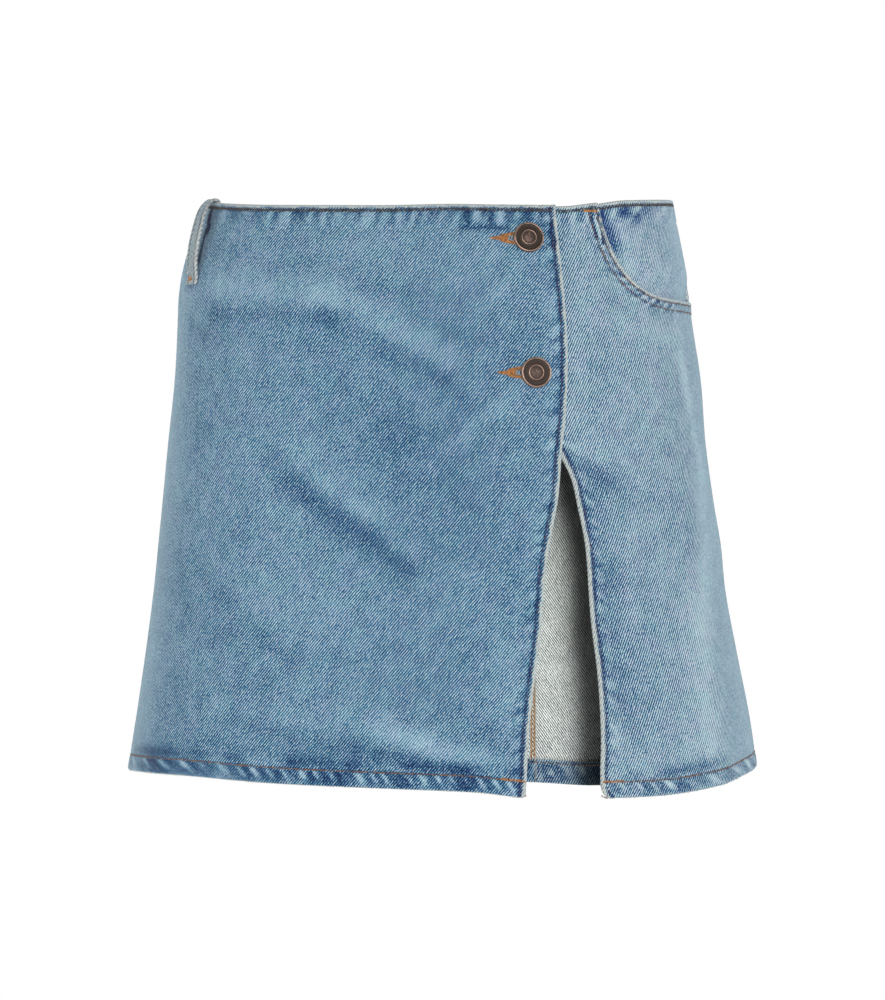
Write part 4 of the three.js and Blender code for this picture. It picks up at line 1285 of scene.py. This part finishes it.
# %% The tree for single threads
def thread_tree():
    tree, entry = open_tree("threads_at_places", ["Width", "Height", "Unevenness"])
    most = entry.out("Unevenness")
    lean = uneven_by(tree, entry, most * -1.0, most)
    size = add(tree, "ShaderNodeCombineXYZ", {}, {
        0: stored(tree, "long", "FLOAT"), 1: entry.out("Width"), 2: entry.out("Height")})
    set_threads(tree, entry, entry.out("Geometry"), stored(tree, "out"), stored(tree, "along"), lean, size)
    return tree


def threads(name, marks, thread, width, height, unevenness=0.12, seed=5):
    """One object with a thread at each mark: its place, its direction, its way out and its length."""
    mesh = bpy.data.meshes.new(name)
    mesh.from_pydata([(np.array(mark[0]) * MM).tolist() for mark in marks], [], [])
    for label, column in (("along", 1), ("out", 2)):
        values = np.array([mark[column] for mark in marks], float).reshape(-1)
        mesh.attributes.new(label, "FLOAT_VECTOR", "POINT").data.foreach_set("vector", values)
    long = np.array([mark[3] for mark in marks], float) * MM
    mesh.attributes.new("long", "FLOAT", "POINT").data.foreach_set("value", long)
    source = placed(name + "_marks", mesh)
    made = run_tree(source, THREADS, name, {
        "Width": width * MM, "Height": height * MM, "Unevenness": unevenness, "Seed": seed,
        "Thread": thread})
    MADE[name] = made
    print(name, len(marks), "threads")
    return made


def patch(piece, angle, z, side=1):
    """A flat patch of a piece's surface: turns millimetres across and up into a thread's mark."""
    out = side * oval_normal(angle, z)
    up = np.array([0, 0, 1.0]) - out * out[2]
    up /= np.linalg.norm(up)
    across = np.cross(up, out)

    def mark(a, b, along_a, along_b, long, lift=0.15):
        here, height = angle + side * a / float(degree_length(angle, z)), z + b
        place, _ = on_piece(piece, np.array([here]), np.array([height]), side, lift)
        way = across * along_a + up * along_b
        return place[0], way / np.linalg.norm(way), out, long

    return mark


THREADS = thread_tree()
print("the tree for single threads has", len(THREADS.nodes), "nodes")

# %% [markdown]
# ## Buttonholes
# A keyhole buttonhole is a slit with a round end for the button's neck, closed off all round by
# tight stitches side by side, which a tailor calls a purl. The slit is cut through the wrap's shell
# with a drop-shaped tool. Past its tip the purl runs on and tapers, as it does on the real skirt.
# Short loose ends fray out of the slit, and others out of the hem's lower edge and its corners.

# %% Cutting and sewing the buttonholes
BUTTONS = [
    dict(name="upper", x=54.6, z=-30.8),
    dict(name="lower", x=59.0, z=-117.6),
]
SLOT_LENGTH, EYELET_R, SLOT_END_R = 17.0, 3.7, 0.4


def slot_half(a):
    """Half the width of the buttonhole's slit at a distance from the button's middle."""
    return np.interp(-a, [0, SLOT_LENGTH], [EYELET_R, SLOT_END_R])


def button_frame(button, out):
    """The matrix whose +Z is the way out of the cloth at a button, moved out by a distance."""
    angle = float(angle_at(button["x"], button["z"]))
    normal = Vector(oval_normal(angle, button["z"]))
    up = (Vector((0, 0, 1)) - normal * normal.z).normalized()
    frame_axes = Matrix((up.cross(normal), up, normal)).transposed().to_4x4()
    away = float(fold_height(angle, button["z"])) + out
    place = oval_point(angle, button["z"]) + np.array(normal) * away
    return Matrix.Translation(Vector(place * MM)) @ frame_axes


def slot_tool(button):
    lean = math.asin((EYELET_R - SLOT_END_R) / SLOT_LENGTH)
    ring = []
    for k in range(25):
        turn = -math.pi / 2 - lean + (math.pi + 2 * lean) * k / 24
        ring.append((EYELET_R * math.cos(turn), EYELET_R * math.sin(turn)))
    for k in range(9):
        turn = math.pi / 2 + lean + (math.pi - 2 * lean) * k / 8
        ring.append((-SLOT_LENGTH + SLOT_END_R * math.cos(turn), SLOT_END_R * math.sin(turn)))
    n = len(ring)
    points = [(x * MM, y * MM, z * MM) for z in (-5, 5) for x, y in ring]
    sides = [(i, (i + 1) % n, (i + 1) % n + n, i + n) for i in range(n)]
    mesh = bpy.data.meshes.new("slot_tool")
    mesh.from_pydata(points, [], sides + [tuple(range(n))[::-1], tuple(range(n, 2 * n))])
    mesh.transform(button_frame(button, LAP_RISE))
    return placed("slot_tool", mesh)


def cut(piece, tool):
    modifier = piece.modifiers.new("cut", "BOOLEAN")
    modifier.operation, modifier.solver, modifier.object = "DIFFERENCE", "EXACT", tool
    graph = bpy.context.evaluated_depsgraph_get()
    piece.data = bpy.data.meshes.new_from_object(piece.evaluated_get(graph))
    piece.modifiers.clear()
    bpy.data.objects.remove(tool)


for button in BUTTONS:
    cut(MADE["front_wrap_cloth"], slot_tool(button))
print("wrap after the buttonholes:", len(MADE["front_wrap_cloth"].data.polygons), "faces")

purl = []
for button in BUTTONS:
    angle = float(angle_at(button["x"], button["z"]))
    mark = patch(wrap, angle, button["z"])
    for a in np.arange(-SLOT_LENGTH - 0.2, -7.5, 0.52):
        for s in (1, -1):
            purl.append(mark(a, s * (float(slot_half(a)) + 1.15), 0.08 * s, 1, 2.6))
    for a in np.arange(-24.0, -12.5, 0.5):
        taper = float(np.interp(a, [-24, -17.4, -16.6], [1.2, 4.2, 3.6]))
        purl.append(mark(a, 0.0, 0.05, 1, taper, 0.3 if a < -17 else 0.05))
threads("buttonhole_purl", purl, orange_thread, 0.66, 0.8, 0.16, 21)

frays = np.random.default_rng(7)
ends = []
for button in BUTTONS:
    mark = patch(wrap, float(angle_at(button["x"], button["z"])), button["z"])
    for a in np.arange(-16.0, -8.5, 0.3):
        for s in (1, -1):
            b = s * (float(slot_half(a)) - frays.uniform(-0.2, 0.5))
            lean, long, lift = frays.uniform(-0.8, 0.8), frays.uniform(0.8, 1.9), frays.uniform(-0.9, 0.1)
            ends.append(mark(a, b, lean, -s, long, lift))
hem_ends = []
for piece, sign in ((wrap, -1), (under, 1)):
    first, last = float(piece.first(-380)), float(piece.last(-380))
    corner = last if sign < 0 else first
    for k in range(260):
        span = frays.uniform(0.2, 6.0) if k < 60 else frays.uniform(0, (last - first) * HEM_DEGREE)
        angle = corner + sign * span / HEM_DEGREE
        z = float(piece.bottom(angle)) + 0.3 + max(0.0, CORNER_R - span) ** 2 / (2 * CORNER_R)
        out = oval_normal(angle, z)
        across = np.cross([0, 0, 1.0], out)
        way = across * frays.uniform(-0.9, 0.9) - np.array([0, 0, 1.0]) + out * frays.uniform(-0.4, 0.4)
        place = piece.at(np.array([angle]), np.array([z]), piece.rise(np.array([angle]), z))[0]
        hem_ends.append((place, way / np.linalg.norm(way), out, frays.uniform(0.7, 1.9)))
threads("frayed_ends", ends, white_thread, 0.26, 0.26, 0.3, 29)
threads("frayed_hem", hem_ends, frayed_thread, 0.26, 0.26, 0.3, 30)

# %% [markdown]
# ## Bar tacks and chain stitches
# Places that are pulled on get a bar tack, a short bar of threads packed side by side.
# The two long back seams are closed inside with a chain stitch, whose loops look like links.

# %% Bar tacks and chain stitches
tacks = []
mark = patch(under, 37.2, -11.0)
for a in np.arange(-5.0, 4.6, 0.5):
    tacks.append(mark(a, 0.1 * math.sin(a * 3), 0.25, 1, 1.9, 0.25))
threads("bar_tacks", tacks, orange_thread, 0.62, 0.7, 0.1, 22)

links = []
for piece, edge, offset in ((back_centre, "first", 1.8), (back_centre, "last", 1.8)):
    angle, z = row_beside(piece, edge, offset, 8, 16, 1.7)
    place, way = on_piece(piece, angle, z, -1, 0.35)
    for k in range(len(z) - 1):
        along = place[k + 1] - place[k]
        along /= np.linalg.norm(along)
        side = np.cross(way[k], along)
        for s in (1, -1):
            links.append((place[k] + side * s * 0.85, along + side * s * 0.5, way[k], 2.3))
threads("seam_chain_stitches", links, gold_thread, 1.0, 0.8, 0.1, 23)
seam_sides = [row for offset in (0.0, 3.7) for edge in ("first", "last")
              for row in rows_on([back_centre], edge, offset, -1, 8, 16, 0.2)]
stitch_rows("seam_side_threads", seam_sides, white_thread, pitch=1.4, length=1.7, width=0.9, height=0.6,
            lean=20, seed=27)

# %% [markdown]
# ## Belt loops
# A belt loop is a narrow strip folded to hide its raw edges, with two rows of stitches down it.
# It is sewn to the inside of the waist, comes over the top, stands away from the skirt to take a belt,
# and is tacked down at its lower end. The strip follows one curve, drawn as a table of a side view.

# %% The belt loops
LOOP_PATH = table("s out up", [
    (-12, -3.3, -10.9), (-7, -3.5, -5.9), (-3, -3.4, -2.0), (-0.5, -2.2, 0.2), (1.5, -0.2, 0.9),
    (3.6, 2.0, 0.4), (6.6, 4.2, -2.3), (13.0, 6.7, -8.3), (24, 7.3, -19.3), (34, 6.6, -29.3),
    (44.2, 4.9, -39.3), (52.5, 2.7, -47.3), (55.7, 1.9, -50.3), (60.2, 1.8, -55),
])
LOOPS = [
    dict(name="belt_loop_right", angle=-67.2, top_turn=-5.5),
    dict(name="belt_loop_left", angle=118.0, top_turn=2.0),
]
LOOP_WIDTH, LOOP_THICK, LOOP_TURN_DOWN, LOOP_END = 12.0, 1.6, 25.0, 60.2
path_out, path_up = through(LOOP_PATH, "s", "out"), through(LOOP_PATH, "s", "up")

loop_denim = denim(
    "loop_denim",
    tones((0.0, (92, 104, 112)), (0.28, (132, 144, 150)), (0.5, (161, 171, 175)),
          (0.74, (186, 193, 193)), (1.0, (212, 215, 212))),
    linear(214, 217, 212, LIGHT_FACTOR), PAINTED_SHEEN_COLOUR, twill=0.25, seed=6.0)


def loop_place(loop, s, across, off):
    """A place on the strip: s along it, across it, and off its middle, in millimetres."""
    lean_out = (path_out(s + 0.2) - path_out(s - 0.2)) / 0.4
    lean_up = (path_up(s + 0.2) - path_up(s - 0.2)) / 0.4
    long = np.hypot(lean_out, lean_up)
    turned = np.clip(1 + np.minimum(path_up(s), 0) / LOOP_TURN_DOWN, 0, 1) ** 2
    middle = loop["angle"] + loop["top_turn"] * turned
    z = waist_line(middle) + path_up(s) + off * lean_out / long
    angle = middle + across / degree_length(middle, -30)
    away = fold_height(angle, z) + path_out(s) - off * lean_up / long
    return oval_point(angle, z) + oval_normal(angle, np.minimum(z, 0)) * away[..., None]


def make_loop(loop):
    half_width = LOOP_WIDTH / 2
    beside = [0, 0.09, 0.3, 0.7, 1.1, 1.5, 1.9, 2.3, 2.7, 3.1, 3.6, 4.1, 4.6, 5.1, 5.6]
    across = np.array([d - half_width for d in beside] + [half_width - d for d in beside[::-1]])
    s = np.arange(-12, LOOP_END + 0.01, 0.802)
    s, w = np.meshgrid(s, across, indexing="ij")
    from_side = half_width - np.abs(w)
    share = np.sqrt(np.clip(1 - (1 - np.clip(from_side / 0.9, 0, 1)) ** 2, 0.02, 1))
    rope = np.sin(2 * math.pi * (s * 0.9 + np.abs(w) * 0.8) / 2.2 + 1.5 * wander(s * 3, 8))
    rope = rope * near(from_side, 0.9, 1.0)
    groove = np.sin(2 * math.pi * w / 1.6 + 0.8 * wander(s * 1.5, 3))
    relief = 0.3 * near(from_side, 0.9, 0.9) - 0.4 * near(from_side, 2.5, 0.6) + 0.01 * rope
    relief = relief - 0.5 * near(s, LOOP_END - 3.5, 0.8) + 0.06 * groove * ease((from_side - 2.6) / 0.8)
    ends = np.sqrt(np.clip(1 - (1 - np.clip(np.minimum(s + 12, LOOP_END - s) / 0.8, 0, 1)) ** 2, 0.05, 1))
    half = LOOP_THICK / 2 * share * ends
    outer = loop_place(loop, s, w, half + relief * share)
    inner = loop_place(loop, s, w, -half + 0 * relief)
    maps = np.stack([w, -s], axis=-1)
    worn = np.maximum(near(from_side, 0.7, 1.0), near(s, 1.5, 4.0) * 0.5)
    # The strip is darker along its stitch ditches, 2.5 mm in from each side: painted shade, together with
    # the dye that rubbing doesn't reach.
    wash = 0.05 * rope - 0.5 * near(from_side, 2.5, 0.7) + 0.3 * groove * ease((from_side - 2.6) / 0.8)
    outer, inner, maps, wash, worn = (part[::-1] for part in (outer, inner, maps, wash, worn))
    made = cloth_object(loop["name"] + "_cloth", outer, inner, shell_faces(*s.shape), maps, (maps, maps), 0,
                        {"wash": (wash, wash), "worn": (worn, worn)}, [loop_denim])
    MADE[made.name] = made
    out = oval_normal(loop["angle"], -20)
    side = np.cross([0, 0, 1.0], out)
    for step in np.arange(LOOP_END - 5.0, LOOP_END - 2.4, 0.5):
        place = loop_place(loop, np.array([step]), np.array([-1.5]), np.array([LOOP_THICK / 2 + 0.1]))[0]
        loop_tacks.append((place, side, out, 6.0))
    return made


loop_tacks = []
for loop in LOOPS:
    make_loop(loop)
threads("belt_loop_tacks", loop_tacks, orange_thread, 0.62, 0.7, 0.1, 28)
print("belt loops:", len(LOOPS))

# %% [markdown]
# ## Buttons
# A shank button is a pressed metal cap on a short neck, fixed by a tack through the cloth.
# It is round, so its outline is drawn once as a table of radius and height and turned about its axis.
# Its rim and its inner ring are raised and rubbed bright; the channel between them is dark.
# Makers fill the channel with lettering, so here it has a plain ring of small beads instead.

# %% The buttons
BUTTON_OUTLINE = table("r z worn", [
    (0.0, -3.6, 0), (3.2, -3.6, 0), (3.2, -0.2, 0), (3.6, 0.0, 0), (8.0, 0.05, 0), (9.2, 0.4, 0),
    (9.8, 1.0, 0.2), (10.0, 1.8, 0.5), (9.9, 2.6, 0.8), (9.6, 3.15, 1.0), (9.25, 3.38, 1.0),
    (8.9, 3.3, 0.9), (8.6, 3.0, 0.35), (8.4, 2.72, 0.0), (8.0, 2.62, 0.0), (6.6, 2.64, 0.05),
    (5.5, 2.68, 0.0), (5.2, 2.8, 0.2), (4.95, 3.1, 0.8), (4.7, 3.22, 1.0), (4.45, 3.1, 0.8),
    (4.2, 2.85, 0.3), (3.9, 2.84, 0.25), (2.8, 3.05, 0.45), (1.4, 3.2, 0.5), (0.0, 3.24, 0.5),
])
BUTTON_LIFT = 0.7
TURN_STEPS = 72
BEADS, BEADS_R, BEADS_Z, BEAD_LONG = 40, 6.75, 2.62, 1.5


def make_button(button):
    outline = BUTTON_OUTLINE
    points, faces, worn = [(0, 0, outline[0]["z"])], [], [0.0]
    rings = outline[1:-1]
    for row in rings:
        for k in range(TURN_STEPS):
            turn = 2 * math.pi * k / TURN_STEPS
            points.append((row["r"] * math.cos(turn), row["r"] * math.sin(turn), row["z"]))
            worn.append(row["worn"])
    points.append((0, 0, outline[-1]["z"]))
    worn.append(outline[-1]["worn"])
    last, n = len(points) - 1, TURN_STEPS
    for k in range(n):
        after = (k + 1) % n
        faces.append((0, 1 + after, 1 + k))
        faces.append((last, last - n + k, last - n + after))
        for ring in range(len(rings) - 1):
            a = 1 + ring * n
            faces.append((a + k, a + after, a + n + after, a + n + k))
    mesh = bpy.data.meshes.new("button_" + button["name"] + "_head")
    mesh.from_pydata([tuple(x * MM for x in point) for point in points], [], faces)
    mesh.attributes.new("worn", "FLOAT", "POINT").data.foreach_set("value", worn)
    mesh.polygons.foreach_set("use_smooth", [True] * len(faces))
    mesh.materials.append(aged_copper)
    place = button_frame(button, LAP_RISE + CLOTH / 2 + BUTTON_LIFT)
    mesh.transform(place)
    MADE[mesh.name] = placed(mesh.name, mesh)
    beads = []
    for k in range(BEADS):
        turn = 2 * math.pi * k / BEADS
        spot = place @ Vector((BEADS_R * math.cos(turn) * MM, BEADS_R * math.sin(turn) * MM, BEADS_Z * MM))
        way = place.to_3x3() @ Vector((math.cos(turn), math.sin(turn), 0))
        out = place.to_3x3() @ Vector((0, 0, 1))
        beads.append((np.array(spot) / MM, np.array(way), np.array(out), BEAD_LONG))
    return threads("button_" + button["name"] + "_beads", beads, aged_copper, 0.6, 0.55, 0.0, 25)


for button in BUTTONS:
    make_button(button)
for name in ("tack_upper", "tack_lower"):
    bpy.data.objects[name].data.materials.clear()
    bpy.data.objects[name].data.materials.append(aged_copper)
print("buttons:", len(BUTTONS))

# %% [markdown]
# ## What each piece stands for
# Each piece hides the CAD node that it replaces, and the table also names its finish.
# Everything rides on the one body, because nothing on the skirt moves.

# %% Hide the replaced CAD nodes and put the pieces on the body
STANDS_FOR = {
    "front_wrap_cloth": ("front_wrap_panel", "outer_denim"),
    "front_under_cloth": ("front_under_panel", "pale_denim"),
    "pocket_facing_cloth": ("pocket_facing", "pale_denim"),
    "back_right_cloth": ("back_right_panel", "outer_denim"),
    "back_centre_cloth": ("back_centre_panel", "outer_denim"),
    "back_left_cloth": ("back_left_panel", "pale_denim"),
    "belt_loop_right_cloth": ("belt_loop_right", "loop_denim"),
    "belt_loop_left_cloth": ("belt_loop_left", "loop_denim"),
    "button_upper_head": ("button_upper", "aged_copper"),
    "button_lower_head": ("button_lower", "aged_copper"),
}
SEWN_ON = {
    "front_wrap_cloth": ["hem_stitches_front", "hem_backtacks", "waist_zig", "waist_zag",
                         "front_edge_stitches", "buttonhole_purl", "bar_tacks", "frayed_ends",
                         "frayed_hem", "hem_stitches_inside", "waist_stitches_inside"],
    "front_under_cloth": ["pocket_stitches"],
    "back_centre_cloth": ["seam_chain_stitches", "seam_side_threads", "hem_stitches_back"],
    "belt_loop_right_cloth": ["belt_loop_tacks"],
}
for name, made in MADE.items():
    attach(made, "root")
    if name in STANDS_FOR:
        node, slot = STANDS_FOR[name]
        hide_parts(node)
for piece in (wrap, under, facing, back_right, back_centre, back_left):
    [MADE[name] for name in SEWN_ON.get(piece.name, [])]
for loop in LOOPS:
    name = loop["name"] + "_cloth"
    [MADE[sewn] for sewn in SEWN_ON.get(name, [])]
print("pieces:", len(MADE))

# %% [markdown]
# ## Camera, light and floor
# The camera stands straight in front at the height of the skirt's middle, 2.8 m away, with a long lens.
# The light is that of a plain white studio: one lamp near the camera, two at the front corners, two at
# the sides, and one behind, which lights the inside of the back through the slit.

# %% Camera
scene = bpy.context.scene
camera_data = bpy.data.cameras.new("camera")
camera_data.sensor_fit, camera_data.sensor_height = "VERTICAL", 36.0
camera_data.lens = 4172 * 36 / 1000
camera = placed("camera", camera_data)
camera.location = (0.0, -2.8, -0.1993)
camera.rotation_euler = (math.radians(90), 0, 0)
scene.camera = camera

# %% Light
world = bpy.data.worlds.new("studio")
world.use_nodes = True
studio = world.node_tree
studio.nodes.clear()
around_us = add(studio, "ShaderNodeBackground", {}, {0: (1, 1, 1, 1), 1: 0.14})
backdrop = add(studio, "ShaderNodeBackground", {}, {0: (1, 1, 1, 1), 1: 1.0})
seen = add(studio, "ShaderNodeLightPath", {}, {}, out=0)
both = add(studio, "ShaderNodeMixShader", {}, {0: seen, 1: around_us, 2: backdrop})
add(studio, "ShaderNodeOutputWorld", {}, {0: both})
scene.world = world
scene.view_settings.view_transform = "Standard"
LAMPS = table("name place aim size power", [
    ("front", (0.18, -2.9, 0.05), (0, 0, -0.2), 0.36, 76),
    ("left_front", (-1.75, -2.1, 0.3), (0, 0, -0.2), 1.3, 12),
    ("right_front", (1.75, -2.1, 0.3), (0, 0, -0.2), 1.3, 12),
    ("left_side", (-2.3, -0.1, 0.2), (0, 0, -0.2), 1.4, 26),
    ("right_side", (2.3, -0.1, 0.2), (0, 0, -0.2), 1.4, 26),
    ("back", (-0.6, 2.9, 0.5), (0, 0, -0.2), 1.6, 70),
])
for row in LAMPS:
    lamp = bpy.data.lights.new(row["name"], "AREA")
    lamp.shape, lamp.size, lamp.energy = "DISK", row["size"], row["power"]
    holder = placed(row["name"], lamp)
    holder.location = row["place"]
    holder.rotation_euler = (Vector(row["aim"]) - Vector(row["place"])).to_track_quat("-Z", "Y").to_euler()

# %% Floor
floor_mesh = bpy.data.meshes.new("floor")
FLOOR_R, FLOOR_Z = 2.0, -1.15
turns = [math.radians(degree) for degree in range(0, 360, 5)]
ring = [(FLOOR_R * math.cos(turn), FLOOR_R * math.sin(turn), FLOOR_Z) for turn in turns]
floor_mesh.from_pydata(ring, [], [tuple(range(len(ring)))])
floor_material, floor_tree = new_material("pale_floor")
floor_look = {"Base Color": (0.8, 0.8, 0.79, 1), "Roughness": 0.9}
floor_surface = add(floor_tree, "ShaderNodeBsdfPrincipled", {}, floor_look)
add(floor_tree, "ShaderNodeOutputMaterial", {}, {0: floor_surface})
floor_mesh.materials.append(floor_material)
floor = placed("floor", floor_mesh)
print("the scene is lit")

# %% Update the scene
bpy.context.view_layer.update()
